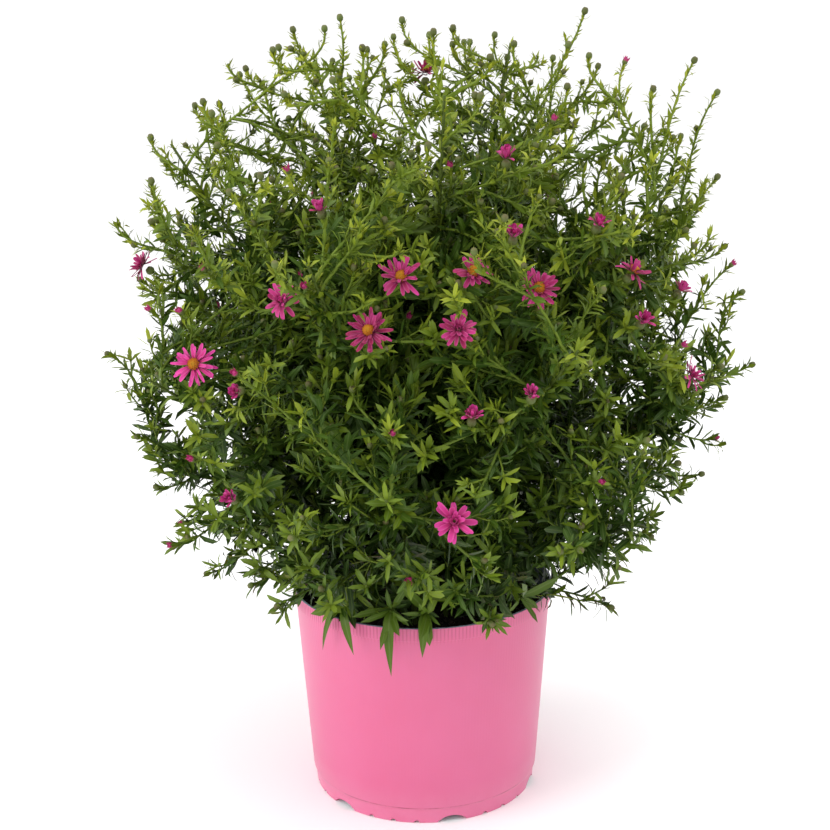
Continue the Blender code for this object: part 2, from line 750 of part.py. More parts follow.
def leaf_size(height):
    """Leaves grow shorter from the foot of the plant to its top."""
    share = (height - SOIL_HEIGHT) / (PLANT_CENTRE.z + PLANT_HALF_HEIGHT - SOIL_HEIGHT)
    return LEAF_LENGTH[0] + (LEAF_LENGTH[1] - LEAF_LENGTH[0]) * min(1, max(0, share)) ** LEAF_TAPER


def petal_star(place, facing, width, kind):
    """A bloom as a many-pointed star, thick at its centre; its petals lie in two layers."""
    turn = facing.to_track_quat("Z", "Y")
    radius = width / 2
    petals, lifts, (notch, shoulder, spread), core = kind
    top, bottom = core
    verts = [Vector((0, 0, top)), Vector((0, 0, bottom))]
    faces = []
    pitch = 2 * math.pi / petals
    mean = sum(lift for lift, _ in lifts) / 2

    def point(angle, reach_out, lift):
        return Vector((math.cos(angle) * reach_out, math.sin(angle) * reach_out, lift * reach_out))

    for i in range(petals):
        lift, share = lifts[i % 2]
        angle = i * pitch
        verts.append(point(angle - pitch / 2, radius * notch, mean))
        verts.append(point(angle - pitch * spread, radius * share * shoulder, lift))
        verts.append(point(angle, radius * share, lift))
        verts.append(point(angle + pitch * spread, radius * share * shoulder, lift))
    outline = list(range(2, len(verts)))
    for a, b in zip(outline, outline[1:] + outline[:1]):
        faces += [(0, a, b), (1, b, a)]
    return [place + turn @ v for v in verts], faces


def disc_dome(place, facing):
    """The yellow centre of an open bloom: a low dome over a point that sits on the petals."""
    turn = facing.to_track_quat("Z", "Y")
    verts, faces = lathe(((0, DISC_FOOT), *DISC_RINGS), DISC_SIDES)
    return [place + turn @ Vector(v) for v in verts], faces


def make_blooms(blooms, room):
    """The petals of each bloom, and the disc of each that shows one."""
    for name, place, facing, width in blooms:
        kind = OPEN_PETALS if name.startswith("open") else CLOSED_PETALS
        shape = petal_star(place, facing, width, kind)
        petals = solid(f"petals_{name}", *shape)
        paint(petals, f"petals {name}", PETAL_MAGENTA, 0.55)
        room.add(name, *shape)
    for number in DISC_BLOOMS:
        name, place, facing, width = blooms[number]
        shape = disc_dome(place, facing)
        disc = solid(f"disc_{number + 1:02d}", *shape)
        paint(disc, f"disc {number + 1}", DISC_YELLOW, 0.8)
        room.add(f"disc_{number}", *shape)


def inside_plant(tip):
    """True where a leaf may end."""
    away = tip - PLANT_CENTRE
    (left, right), (front, back) = LEAF_LIMITS
    within = left < tip.x < right and front < tip.y < back and tip.z > LEAF_FLOOR
    return within and away.length < reach(away.normalized()) * LEAF_DEPTH


def try_leaf(room, stalk, corners, draw):
    """The points of a leaf where there is room for one, or None."""
    length = leaf_size(corners[0].z) * draw.uniform(*LEAF_SHARE)
    for _ in range(LEAF_TRIES):
        lean, swing = draw.uniform(*LEAF_LEAN), draw.uniform(-LEAF_SWING, LEAF_SWING)
        tips = leaf_tips(corners, length, lean, swing, LEAF_ROOM)
        faces = leaf_faces((0, 1, 2, 3), 4) + [(3, 2, 1, 0)]
        if inside_plant(tips[0]) and room.free([*corners, *tips], faces, stalk):
            room.add(None, [*corners, *tips], faces)
            return leaf_tips(corners, length, lean, swing, 0.0)
        length *= LEAF_SHRINK
    return None


def rim_leaf(shoot, bend, tip, width):
    """A leaf that hangs over the rim from near the end of a shoot."""
    end, before = shoot.points[-1], shoot.points[-2]
    foot = end + (before - end).normalized() * RIM_LEAF_SINK
    return blade(foot, millimetres(bend), millimetres(tip), width / 1000, RIM_LEAF_RISE, RIM_LEAF_CUTS)


def add_leaves(stalk, found, feet, room, draw):
    """The leaves of a stalk that have room, as (ring, side, points)."""
    leaves = []
    for foot in feet:
        low, high = found[foot], found[foot + 1]
        for k in range(len(low)):
            j = (k + 1) % len(low)
            tips = try_leaf(room, stalk, (low[k], low[j], high[j], high[k]), draw)
            if tips is not None:
                leaves.append((foot, k, tips))
    return leaves


def make_plant(stems, shoots, room):
    """Each stem with its shoots, buds and leaves fused into one solid."""
    rows = {}
    for stalk in stems + shoots:
        rows[stalk] = rings(stalk, STEM_SIDES if stalk in stems else SHOOT_SIDES)
        room.add(stalk, *leafy_tube(rows[stalk][0], []))
    hanging = []
    for number, bend, tip, width in RIM_LEAVES:
        shape = rim_leaf(shoots[number], bend, tip, width)
        room.add(None, *shape)
        hanging.append((shoots[number].stem, shape))
    draw = random.Random(SEED + 2)
    shapes = {}
    for stalk, (found, feet) in rows.items():
        shapes[stalk] = leafy_tube(found, add_leaves(stalk, found, feet, room, draw))
    for stem in stems:
        item = solid(f"stem_{stem.stem + 1:02d}", *shapes[stem])
        pieces = [shapes[shoot] for shoot in shoots if shoot.stem == stem.stem]
        pieces += [shape for number, shape in hanging if number == stem.stem]
        combine(item, pieces, "UNION", "MANIFOLD")
        paint(item, f"aster green {stem.stem + 1}", LEAF_GREEN, 0.6)


clear_scene()
pot = make_pot()
soil = make_soil(root_places())
room = Room()
for item in (pot, soil):
    room.add(item, [v.co for v in item.data.vertices], [tuple(p.vertices) for p in item.data.polygons])
stems, shoots, blooms = grow()
make_blooms(blooms, room)
make_plant(stems, shoots, room)
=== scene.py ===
import json
import math
import random
from dataclasses import dataclass

import bmesh
import bpy
import numpy as np
from mathutils import Matrix, Vector

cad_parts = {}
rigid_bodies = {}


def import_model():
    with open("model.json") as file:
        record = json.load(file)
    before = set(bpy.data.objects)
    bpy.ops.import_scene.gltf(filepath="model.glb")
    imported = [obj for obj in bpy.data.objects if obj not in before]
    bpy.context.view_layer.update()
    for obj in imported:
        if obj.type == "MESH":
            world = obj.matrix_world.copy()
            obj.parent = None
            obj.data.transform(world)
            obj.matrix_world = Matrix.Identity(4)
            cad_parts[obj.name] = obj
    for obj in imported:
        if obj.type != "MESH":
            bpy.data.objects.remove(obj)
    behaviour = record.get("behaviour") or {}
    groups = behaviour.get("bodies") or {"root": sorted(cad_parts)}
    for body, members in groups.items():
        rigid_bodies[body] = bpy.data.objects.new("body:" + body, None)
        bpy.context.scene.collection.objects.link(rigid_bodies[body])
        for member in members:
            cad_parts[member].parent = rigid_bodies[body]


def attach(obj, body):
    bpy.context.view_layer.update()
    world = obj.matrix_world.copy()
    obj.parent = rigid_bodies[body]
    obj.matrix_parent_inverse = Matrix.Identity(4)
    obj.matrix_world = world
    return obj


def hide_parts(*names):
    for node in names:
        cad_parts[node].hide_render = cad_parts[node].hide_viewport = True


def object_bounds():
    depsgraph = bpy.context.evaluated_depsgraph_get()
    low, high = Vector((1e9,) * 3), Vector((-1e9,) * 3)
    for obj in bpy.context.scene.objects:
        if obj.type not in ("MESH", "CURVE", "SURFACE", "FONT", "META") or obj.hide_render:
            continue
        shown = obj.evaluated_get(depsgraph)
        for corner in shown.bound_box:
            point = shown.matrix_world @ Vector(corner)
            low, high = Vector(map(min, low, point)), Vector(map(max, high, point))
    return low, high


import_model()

cad_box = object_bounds()


# The pot: one piece of pink polypropylene, injection moulded with fine upright ribs, with a
# raised band under its mouth, a foot ring with low arches, and six drain holes in its floor.
# Inside, and along the lip, the plastic is a plain blue grey.
RIM_RADIUS = 0.085
RIM_HEIGHT = 0.138
BAND_HEIGHT = 0.009
BAND_STEP = 0.0016
WALL = 0.0013
BASE_RADIUS = 0.075
BASE_HEIGHT = 0.011
CORNER_RISE = 0.003
CORNER_RUN = 0.006
FOOT_RADIUS = 0.073
FOOT_WIDTH = 0.004
FLOOR_RISE = 0.002
FLOOR_DISC = 0.020
# The foot's section, out from its radius and up; the band's and lip's, in from the rim and down
FOOT_SECTION = [
    (-FOOT_WIDTH, FLOOR_RISE), (-FOOT_WIDTH, 0.0003), (-0.0037, 0), (-0.0004, 0), (0, 0.0004),
    (0.0006, 0.0080), (0.0010, 0.0098), (0.0016, 0.0108),
]
BAND_SECTION = [
    (0.0013, 0.0091), (0.0005, 0.0088), (0.0003, 0.0083), (0.0002, 0.0035), (0, 0.0012),
    (0.0001, 0.0004), (0.0005, 0), (0.0013, 0), (0.0016, 0.0003),
]
WALL_RINGS = 8
WALL_EASE = (0.0006, 0.0004)
INSIDE_RING = 0.090
RIBS = 230
POINTS_PER_RIB = 3
# How deep the ribs are above each height: strong on the band and fading down the wall
RIB_DEPTHS = ((0.1300, 0.00030), (0.1130, 0.00007), (0.0150, 0.00003))
RIB_TOP = RIM_HEIGHT - 0.001
# The share of each rib that is its groove
RIB_GROOVE = 0.2
# What is cut out, for the drain holes, the foot's arches and the notches between them: how many,
# turn of the first, how far out, how high, half width, half height, sides and tilt
FIRST_ARCH = math.radians(-16.5)
CUTS = [
    (6, 0, 0.050, FLOOR_RISE, 0.0040, 0.0040, 24, 0),
    (6, FIRST_ARCH, 0.071, 0, 0.0085, 0.0045, 48, math.pi / 2),
    (30, FIRST_ARCH + math.pi / 30, 0.071, 0, 0.0019, 0.0019, 12, math.pi / 2),
]
CUT_DEPTH = 0.011
SMOOTH_UP_TO = math.radians(30)
# How near counts as the same place
NEAR = 0.0001
# Sizes of the clouds in the pink, of the scuffs, of the moulded grain and of the dust inside, mm
CLOUDS, SCUFFS, GRAIN, DUST = 71.43, 16.67, 1.111, 8.333
# Heights between which the foot's wear and the painted shade in the band's rib grooves fade, and the half
# height of the crease's painted shade
WORN_HEIGHTS = (0.030, 0.004)
GROOVE_SHADE_HEIGHTS = (RIM_HEIGHT - 0.014, RIM_HEIGHT - 0.004)
CREASE = (0.0007, 0.0003)


def pick(test):
    """Selects, in edit mode, the points whose place passes the test."""
    mesh = bmesh.from_edit_mesh(bpy.context.edit_object.data)
    bpy.ops.mesh.select_all(action="DESELECT")
    for vert in mesh.verts:
        vert.select = test(vert.co)
    mesh.select_flush_mode()
    bmesh.update_edit_mesh(bpy.context.edit_object.data)


def wall_radius(height):
    """Outer radius of the tapered wall at a height."""
    share = (height - BASE_HEIGHT) / (RIM_HEIGHT - BAND_HEIGHT - BASE_HEIGHT)
    return BASE_RADIUS + (RIM_RADIUS - BAND_STEP - BASE_RADIUS) * share


def pot_section():
    """The pot's section as (radius, height), from the floor's underside up and down inside."""
    band_foot = RIM_HEIGHT - BAND_HEIGHT
    wall = [BASE_HEIGHT + (band_foot - BASE_HEIGHT) * i / WALL_RINGS for i in range(WALL_RINGS + 1)]
    wall[0] += WALL_EASE[0]
    wall[-1] -= WALL_EASE[1]
    inside = (band_foot, INSIDE_RING, BASE_HEIGHT + CORNER_RISE)
    return [(FLOOR_DISC, FLOOR_RISE), *((FOOT_RADIUS + out, up) for out, up in FOOT_SECTION),
            *((wall_radius(height), height) for height in wall),
            *((RIM_RADIUS - inward, RIM_HEIGHT - down) for inward, down in BAND_SECTION),
            *((wall_radius(height) - WALL, height) for height in inside),
            (FOOT_RADIUS - FOOT_WIDTH - CORNER_RUN, FLOOR_RISE + WALL), (FLOOR_DISC, FLOOR_RISE + WALL)]


def mould_pot():
    """The pot's shell, drawn up ring by ring from the floor and down again inside, and cut."""
    bpy.ops.object.select_all(action="DESELECT")
    section = pot_section()
    bpy.ops.mesh.primitive_circle_add(vertices=RIBS * POINTS_PER_RIB, radius=FLOOR_DISC, fill_type="NOTHING",
                                      location=(0, 0, 0))
    pot = bpy.context.object
    pot.name = pot.data.name = "pot_shell"
    bpy.ops.object.mode_set(mode="EDIT")
    bpy.ops.mesh.select_all(action="SELECT")
    bpy.ops.transform.translate(value=(0, 0, FLOOR_RISE))
    for (radius, height), (wider, higher) in zip(section, section[1:]):
        bpy.ops.mesh.extrude_edges_move(TRANSFORM_OT_translate={"value": (0, 0, higher - height)})
        bpy.ops.transform.resize(value=(wider / radius, wider / radius, 1), center_override=(0, 0, higher))
    bpy.ops.mesh.edge_face_add()
    pick(lambda place: abs(place.z - FLOOR_RISE) < NEAR and math.hypot(place.x, place.y) < FLOOR_DISC + NEAR)
    bpy.ops.mesh.edge_face_add()
    top = RIB_TOP
    for bottom, depth in RIB_DEPTHS:
        pick(lambda place: bottom < place.z < top
             and math.hypot(place.x, place.y) > wall_radius(place.z) - WALL / 2
             and math.atan2(place.y, place.x) * RIBS / (2 * math.pi) % 1 < RIB_GROOVE)
        shrink = 1 - depth / RIM_RADIUS
        bpy.ops.transform.resize(value=(shrink, shrink, 1), center_override=(0, 0, 0))
        top = bottom
    bpy.ops.mesh.select_all(action="SELECT")
    bpy.ops.mesh.normals_make_consistent(inside=False)
    bpy.ops.object.mode_set(mode="OBJECT")
    cutters = bpy.data.collections.new("cutters")
    bpy.context.scene.collection.children.link(cutters)
    for count, first, out, up, width, height, sides, tilt in CUTS:
        for i in range(count):
            turn = first + 2 * math.pi * i / count
            bpy.ops.mesh.primitive_cylinder_add(
                vertices=sides, radius=height, depth=CUT_DEPTH, rotation=(tilt, 0, turn + tilt),
                location=(out * math.cos(turn), out * math.sin(turn), up), scale=(width / height, 1, 1))
            cutters.objects.link(bpy.context.object)
    cut = pot.modifiers.new("cut", "BOOLEAN")
    cut.operand_type = "COLLECTION"
    cut.collection = cutters
    bpy.ops.object.select_all(action="DESELECT")
    bpy.context.view_layer.objects.active = pot
    bpy.ops.object.modifier_apply(modifier=cut.name)
    for cutter in list(cutters.objects):
        bpy.data.objects.remove(cutter)
    bpy.data.collections.remove(cutters)
    pot.select_set(True)
    bpy.ops.object.shade_smooth_by_angle(angle=SMOOTH_UP_TO)
    return pot


def linear(colour):
    """An sRGB hex value as linear red, green, blue and alpha."""
    parts = [int(colour[i:i + 2], 16) / 255 for i in (1, 3, 5)]
    return (*[c / 12.92 if c <= 0.04045 else ((c + 0.055) / 1.055) ** 2.4 for c in parts], 1)


def material_of(name, values):
    """A new material with its shader's constant values, its tree and its shader."""
    material = bpy.data.materials.new(name)
    material.use_nodes = True
    shader = material.node_tree.nodes["Principled BSDF"]
    for key, value in values.items():
        shader.inputs[key].default_value = value
    return material, material.node_tree, shader


def node(tree, kind, inputs, settings=None, stops=(), out=0):
    """Adds a node with its inputs (values, hex colours or links) and gives one of its outputs."""
    made = tree.nodes.new("ShaderNode" + kind)
    for key, value in (settings or {}).items():
        setattr(made, key, value)
    for key, value in inputs.items():
        if isinstance(value, bpy.types.NodeSocket):
            tree.links.new(value, made.inputs[key])
        else:
            made.inputs[key].default_value = linear(value) if isinstance(value, str) else value
    for _ in stops[2:]:
        made.color_ramp.elements.new(0.5)
    for element, (position, colour) in zip(made.color_ramp.elements if stops else (), stops):
        element.position = position
        element.color = linear(colour)
    return made.outputs[out]


def pink_polypropylene():
    """Moulded polypropylene: satin, a little cloudy, with scuffs near the foot, and painted shade in the rib
    grooves on the band and in the crease above the foot.
    """
    material, tree, shader = material_of("moulded pink polypropylene", {
        "Roughness": 0.42, "IOR": 1.49, "Coat Weight": 0.35, "Coat Roughness": 0.35,
        "Subsurface Weight": 0.08, "Subsurface Scale": 0.002})
    place = node(tree, "TexCoord", {}, out="Object")
    x, y, height = node(tree, "SeparateXYZ", {"Vector": place}).node.outputs
    cloud = node(tree, "TexNoise", {"Vector": place, "Scale": 1000 / CLOUDS, "Detail": 3})
    body = node(tree, "ValToRGB", {"Fac": cloud}, stops=[(0.3, "#CC5883"), (0.7, "#D05F8B")])
    scuffs = node(tree, "TexNoise", {
        "Vector": place, "Scale": 1000 / SCUFFS, "Detail": 6, "Roughness": 0.7})
    low = node(tree, "MapRange", {
        "Value": height, "From Min": WORN_HEIGHTS[0], "From Max": WORN_HEIGHTS[1], "To Max": 0.35},
        {"interpolation_type": "SMOOTHSTEP"})
    worn = node(tree, "Math", {0: low, 1: scuffs}, {"operation": "MULTIPLY"})
    mixed = node(tree, "Mix", {"Factor": worn, "A": body, "B": "#EFA0BE"},
                 {"data_type": "RGBA"}, out="Result")
    # Painted shade: a darker pink laid in the grooves between the ribs on the band, and in patches in the
    # crease above the foot
    turn = node(tree, "Math", {0: y, 1: x}, {"operation": "ARCTAN2"})
    for step, value in (("MULTIPLY", RIBS / (2 * math.pi)), ("ADD", 0.5), ("FRACT", 0),
                        ("SUBTRACT", 0.5), ("ABSOLUTE", 0)):
        turn = node(tree, "Math", {0: turn, 1: value}, {"operation": step})
    groove = node(tree, "MapRange", {"Value": turn, "From Min": 0.24, "From Max": 0.10})
    on_band = node(tree, "MapRange", {
        "Value": height, "From Min": GROOVE_SHADE_HEIGHTS[0], "From Max": GROOVE_SHADE_HEIGHTS[1], "To Max": 0.5},
        {"interpolation_type": "SMOOTHSTEP"})
    groove_shade = node(tree, "Math", {0: groove, 1: on_band}, {"operation": "MULTIPLY"})
    above = node(tree, "Math", {0: height, 1: BASE_HEIGHT}, {"operation": "SUBTRACT"})
    gap = node(tree, "Math", {0: above}, {"operation": "ABSOLUTE"})
    crease = node(tree, "MapRange", {"Value": gap, "From Min": CREASE[0], "From Max": CREASE[1]})
    patches = node(tree, "MapRange", {"Value": scuffs, "From Min": 0.42, "From Max": 0.58})
    crease_shade = node(tree, "Math", {0: crease, 1: patches}, {"operation": "MULTIPLY"})
    dust_and_shade = node(tree, "Math", {0: groove_shade, 1: crease_shade}, {"operation": "MAXIMUM"})
    # The darker pink of the painted shade
    shaded = node(tree, "Mix", {"Factor": dust_and_shade, "A": mixed, "B": "#A83C62"},
                 {"data_type": "RGBA"}, out="Result")
    tree.links.new(shaded, shader.inputs["Base Color"])
    grain = node(tree, "TexNoise", {"Vector": place, "Scale": 1000 / GRAIN, "Detail": 2})
    bump = node(tree, "Bump", {"Height": grain, "Strength": 0.12, "Distance": 0.0002})
    tree.links.new(bump, shader.inputs["Normal"])
    return material


def grey_polypropylene():
    """The unpigmented inside: blue grey, satin, dusted with soil."""
    material, tree, shader = material_of("grey polypropylene lining", {"Roughness": 0.38, "IOR": 1.49})
    place = node(tree, "TexCoord", {}, out="Object")
    dust_and_shade = node(tree, "TexNoise", {"Vector": place, "Scale": 1000 / DUST, "Detail": 5, "Roughness": 0.7})
    colour = node(tree, "ValToRGB", {"Fac": dust_and_shade}, stops=[(0.42, "#7C8794"), (0.70, "#4E5258")])
    tree.links.new(colour, shader.inputs["Base Color"])
    return material


def stand_in(piece, replaced):
    """Sets a piece on the plant's one body, in the place of a node."""
    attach(piece, "root")
    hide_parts(replaced)


pot = mould_pot()
pot.data.materials.append(pink_polypropylene())
pot.data.materials.append(grey_polypropylene())
for face in pot.data.polygons:
    across, height = math.hypot(face.center.x, face.center.y), face.center.z
    inside = across < (wall_radius(height) if height > BASE_HEIGHT else FOOT_RADIUS) - WALL / 2
    if height > RIM_HEIGHT - 2 * NEAR or (inside and height > FLOOR_RISE + WALL / 2):
        face.material_index = 1
stand_in(pot, "pot")


# The soil: moist potting mix of peat and bark fines, pressed lightly into the pot and mounded in
# the middle. Loose crumbs lie on top, and the stems stand in it.
SOIL_HEIGHT = 0.121
SOIL_MOUND = 0.004
SOIL_SIDES = 96
SOIL_CUTS = 5
# How far its lumps sink and rise, and from which share of its radius it is even
LUMPS = (-0.0012, 0.0004)
EVEN_FROM = 0.995
# From which share of its radius the corner points of its edge lie
CORNERS_FROM = 0.9999
# The gap between the soil and the wall
GAP = 0.0003
CRUMBS = 900
CRUMB_SIZE = (0.0006, 0.0022)
CRUMB_KEEP = 0.003
CRUMB_TILT = 3
# Size of the bits of bark, mm
BARK = 2.857
SEED = 19
# What a random turn is drawn up to, in radians
ANY_TURN = 6.28
# What each point of a gathered piece carries for its material
MARKS = ("youth", "tone", "edge")


def heap_soil():
    """The soil's lumpy top, the corner points of its edge drawn down to a flat underside."""
    bpy.ops.object.select_all(action="DESELECT")
    bpy.ops.mesh.primitive_circle_add(vertices=SOIL_SIDES, radius=soil_edge, fill_type="TRIFAN",
                                      location=(0, 0, SOIL_HEIGHT))
    soil = bpy.context.object
    soil.name = soil.data.name = "soil_bed"
    bpy.ops.object.transform_apply(location=True, rotation=False, scale=False)
    bpy.ops.object.mode_set(mode="EDIT")
    bpy.ops.mesh.select_all(action="SELECT")
    bpy.ops.mesh.subdivide(number_cuts=SOIL_CUTS)
    bpy.ops.object.mode_set(mode="OBJECT")
    draw = random.Random(SEED)
    for vert in soil.data.vertices:
        share = math.hypot(vert.co.x, vert.co.y) / soil_edge
        if share < EVEN_FROM:
            vert.co.z += SOIL_MOUND * (1 - share ** 2) + draw.uniform(*LUMPS)
    bpy.ops.object.mode_set(mode="EDIT")
    pick(lambda place: math.hypot(place.x, place.y) > soil_edge * CORNERS_FROM)
    corner = BASE_HEIGHT + CORNER_RISE + GAP
    narrowing = [(soil_edge, SOIL_HEIGHT), (wall_radius(corner) - WALL - 2 * GAP, corner),
                 (FOOT_RADIUS - FOOT_WIDTH - CORNER_RUN - GAP, FLOOR_RISE + WALL + GAP)]
    for (wide, high), (radius, height) in zip(narrowing, narrowing[1:]):
        bpy.ops.mesh.extrude_edges_move(TRANSFORM_OT_translate={"value": (0, 0, height - high)})
        bpy.ops.transform.resize(value=(radius / wide, radius / wide, 1))
    bpy.ops.mesh.edge_face_add()
    bpy.ops.mesh.select_all(action="SELECT")
    bpy.ops.mesh.normals_make_consistent(inside=False)
    bpy.ops.object.mode_set(mode="OBJECT")
    return soil


def template(item):
    """The points and triangles of a modelled shape, which is then removed."""
    bpy.ops.object.select_all(action="DESELECT")
    bpy.context.view_layer.objects.active = item
    bpy.ops.object.mode_set(mode="EDIT")
    bpy.ops.mesh.select_all(action="SELECT")
    bpy.ops.mesh.quads_convert_to_tris()
    bpy.ops.object.mode_set(mode="OBJECT")
    verts = np.array([vert.co for vert in item.data.vertices])
    tris = np.array([face.vertices for face in item.data.polygons])
    bpy.data.objects.remove(item)
    return verts, tris


class Heap:
    """Triangles gathered for one piece, each point with its youth, tone and nearness to an edge."""

    def __init__(self):
        self.verts, self.tris, self.finishes, self.marks = [], [], [], []
        self.count = 0

    def add(self, verts, tris, finish, youth=0.5, tone=0.5, edge=0.0):
        """Adds one shape, or many copies of one as an array of their points."""
        verts = np.asarray(verts, float)
        verts = verts.reshape(-1, *verts.shape[-2:])
        copies, size = verts.shape[:2]
        shift = self.count + size * np.arange(copies)
        self.verts.append(verts.reshape(-1, 3))
        self.tris.append((np.asarray(tris)[None] + shift[:, None, None]).reshape(-1, 3))
        self.finishes.append(np.full(copies * len(tris), finish))
        marks = np.empty((copies, size, 3))
        marks[..., 0], marks[..., 1], marks[..., 2] = youth, tone, edge
        self.marks.append(marks.reshape(-1, 3))
        self.count += copies * size

    def piece(self, name, materials, smooth=True):
        """The gathered triangles as one object."""
        mesh = bpy.data.meshes.new(name)
        mesh.from_pydata(np.concatenate(self.verts), [], np.concatenate(self.tris))
        mesh.polygons.foreach_set("material_index", np.concatenate(self.finishes).astype(np.int32))
        marks = np.concatenate(self.marks)
        for i, word in enumerate(MARKS):
            layer = mesh.attributes.new(word, "FLOAT", "POINT")
            layer.data.foreach_set("value", np.ascontiguousarray(marks[:, i], np.float32))
        for material in materials:
            mesh.materials.append(material)
        if smooth:
            mesh.shade_smooth()
        item = bpy.data.objects.new(name, mesh)
        bpy.context.scene.collection.objects.link(item)
        return item


def potting_mix():
    """Peat and bark: near black, rough, with brown fibres and paler bits."""
    material, tree, shader = material_of("moist potting mix", {"Roughness": 0.9, "IOR": 1.4})
    place = node(tree, "TexCoord", {}, out="Object")
    bits = node(tree, "TexNoise", {"Vector": place, "Scale": 1000 / BARK, "Detail": 8, "Roughness": 0.7})
    colour = node(tree, "ValToRGB", {"Fac": bits}, stops=[
        (0.35, "#15100C"), (0.55, "#2B2019"), (0.72, "#4A382A")])
    tree.links.new(colour, shader.inputs["Base Color"])
    bump = node(tree, "Bump", {"Height": bits, "Strength": 0.8, "Distance": 0.001})
    tree.links.new(bump, shader.inputs["Normal"])
    return material


soil_edge = wall_radius(SOIL_HEIGHT) - WALL - GAP
soil = heap_soil()
soil.data.materials.append(potting_mix())
crumbs = Heap()
bpy.ops.mesh.primitive_ico_sphere_add(subdivisions=1, radius=1)
crumb, crumb_tris = template(bpy.context.object)
draw = random.Random(SEED + 2)
for _ in range(CRUMBS):
    across = (soil_edge - CRUMB_KEEP) * math.sqrt(draw.random())
    turn = draw.uniform(0, 2 * math.pi)
    size = np.array([draw.uniform(*CRUMB_SIZE) for _ in range(3)])
    height = SOIL_HEIGHT + SOIL_MOUND * (1 - (across / soil_edge) ** 2)
    spin = (Matrix.Rotation(draw.uniform(0, ANY_TURN), 3, "Z")
            @ Matrix.Rotation(draw.uniform(0, CRUMB_TILT), 3, "X"))
    place = (across * math.cos(turn), across * math.sin(turn), height)
    crumbs.add((crumb * size) @ np.array(spin).T + place, crumb_tris, 0)
loose = crumbs.piece("crumbs", [soil.data.materials[0]], smooth=False)
bpy.ops.object.select_all(action="DESELECT")
soil.select_set(True)
loose.select_set(True)
bpy.context.view_layer.objects.active = soil
bpy.ops.object.join()
stand_in(soil, "soil")


# The plant's build: many thin stems rise from the soil and spread to a rounded bush. Each carries
# side shoots, and every shoot ends in a bud, a bloom or a tuft of leaves. The stalks follow the
# frame's own, by the same rules, because each piece stands where its stem node is.
PLANT_CENTRE = Vector((0.004, 0.0, 0.300))
PLANT_RADIUS = 0.200
PLANT_HALF_HEIGHT = 0.198
PLANT_POWER = 2.5
GOLDEN = math.radians(137.508)
STEMS = 20
ROOT_RING = 0.047
ROOT_DEPTH = 0.018
COLLAR_HEIGHT = SOIL_HEIGHT + SOIL_MOUND + 0.003
STEM_RADIUS = (0.0019, 0.0008)
SHOOT_RADIUS = (0.0009, 0.0006)
STEM_STEPS = 7
SHOOT_STEPS = 3
STEM_END = 0.93
STEM_RISE = (0.055, 0.10)
STEM_SPREAD = 0.25
STEM_UPTURN = 0.7
STEM_ARRIVAL = 0.35
SHOOT_UPTURN = 0.6
SHOOT_ALONG = 0.3
SHOOT_HANDLES = (0.35, 0.30)
BUD_RADIUS = 0.0023
BUD_LENGTH = 0.0052
CUP_RADIUS = 0.0027
CUP_LENGTH = 0.005
# How far a bud swells up its length, and where and how wide a cup swells
BUD_SWELL = 0.5
CUP_SWELL = (0.35, 0.85)
BEAD = 0.002
BEAD_GAP = 0.0008
BEAD_REACH = 0.006
# A bloom's beads: the radius at its middle and elsewhere, its hollow, and rings of beads
BLOOM_BEAD_RADII = (0.003, 0.0022)
BLOOM_HOLLOW = 0.25
BLOOM_RINGS = ((0.25, 5), (0.5, 10), (0.75, 15), (1.0, 20))
WALL_KEEP = (0.010, 0.004, 0.003)
ASIDES = [
    (0, 0), (0.12, 0), (-0.12, 0), (0, 0.1), (0, -0.1),
    (0.22, 0.05), (-0.22, 0.05), (0.3, -0.1), (-0.3, -0.1),
]
STEM_LOW = -0.62
FILL_LOW = -0.86
JOINT_SHARES = (0.0, 0.33, 0.66)
JOINT_SPACING = 0.30
SHOOT_SPAN = (0.020, 0.150)
SHOOT_BEND = math.radians(75)
RIM_BEND = math.radians(112)
BEND_COST = 0.030
CROWD_COST = 0.006
SEATS = {"open": 0.0025, "closed": 0.0022}
# Blooms: place (mm), the way each faces, and its width (mm)
BLOOMS = {
    "open": [
        ((-126, -118, 312), (-0.15, -0.93, 0.33), 29), ((17, -166, 234), (0.05, -0.90, 0.43), 29),
        ((63, -150, 358), (0.05, -0.92, 0.38), 25), ((-10, -156, 366), (-0.05, -0.85, 0.52), 28),
        ((28, -150, 367), (0.15, -0.80, 0.58), 25), ((20, -164, 339), (0.00, -0.85, 0.52), 25),
        ((-27, -160, 338), (-0.25, -0.80, 0.55), 28), ((-74, -140, 351), (-0.35, -0.75, 0.56), 24),
        ((119, -103, 358), (0.55, -0.35, 0.76), 24), ((158, -78, 292), (0.80, -0.25, 0.55), 25),
        ((-62, 142, 352), (-0.30, 0.80, 0.52), 28), ((48, 160, 318), (0.20, 0.88, 0.43), 28),
        ((122, 112, 338), (0.60, 0.62, 0.50), 26), ((-138, 98, 296), (-0.72, 0.55, 0.43), 27),
        ((-168, -22, 352), (-0.80, -0.05, 0.60), 25), ((6, 36, 462), (0.05, 0.30, 0.95), 26),
    ],
    "closed": [
        ((48, -112, 424), (0.05, -0.20, 0.98), 12), ((27, -166, 293), (0.10, -0.45, 0.89), 10),
        ((59, -160, 303), (0.10, -0.55, 0.83), 9), ((-109, -120, 234), (-0.35, -0.80, 0.49), 10),
        ((-101, -136, 301), (-0.30, -0.75, 0.20), 9), ((-53, -132, 400), (-0.20, -0.50, 0.84), 9),
        ((125, -110, 332), (0.35, -0.60, 0.72), 10), ((150, -85, 345), (0.50, -0.30, 0.81), 9),
        ((98, -118, 388), (0.30, -0.35, 0.89), 10), ((50, -142, 386), (0.05, -0.55, 0.84), 10),
        ((92, 130, 372), (0.35, 0.50, 0.79), 10), ((-100, 118, 372), (-0.40, 0.45, 0.80), 10),
    ],
}
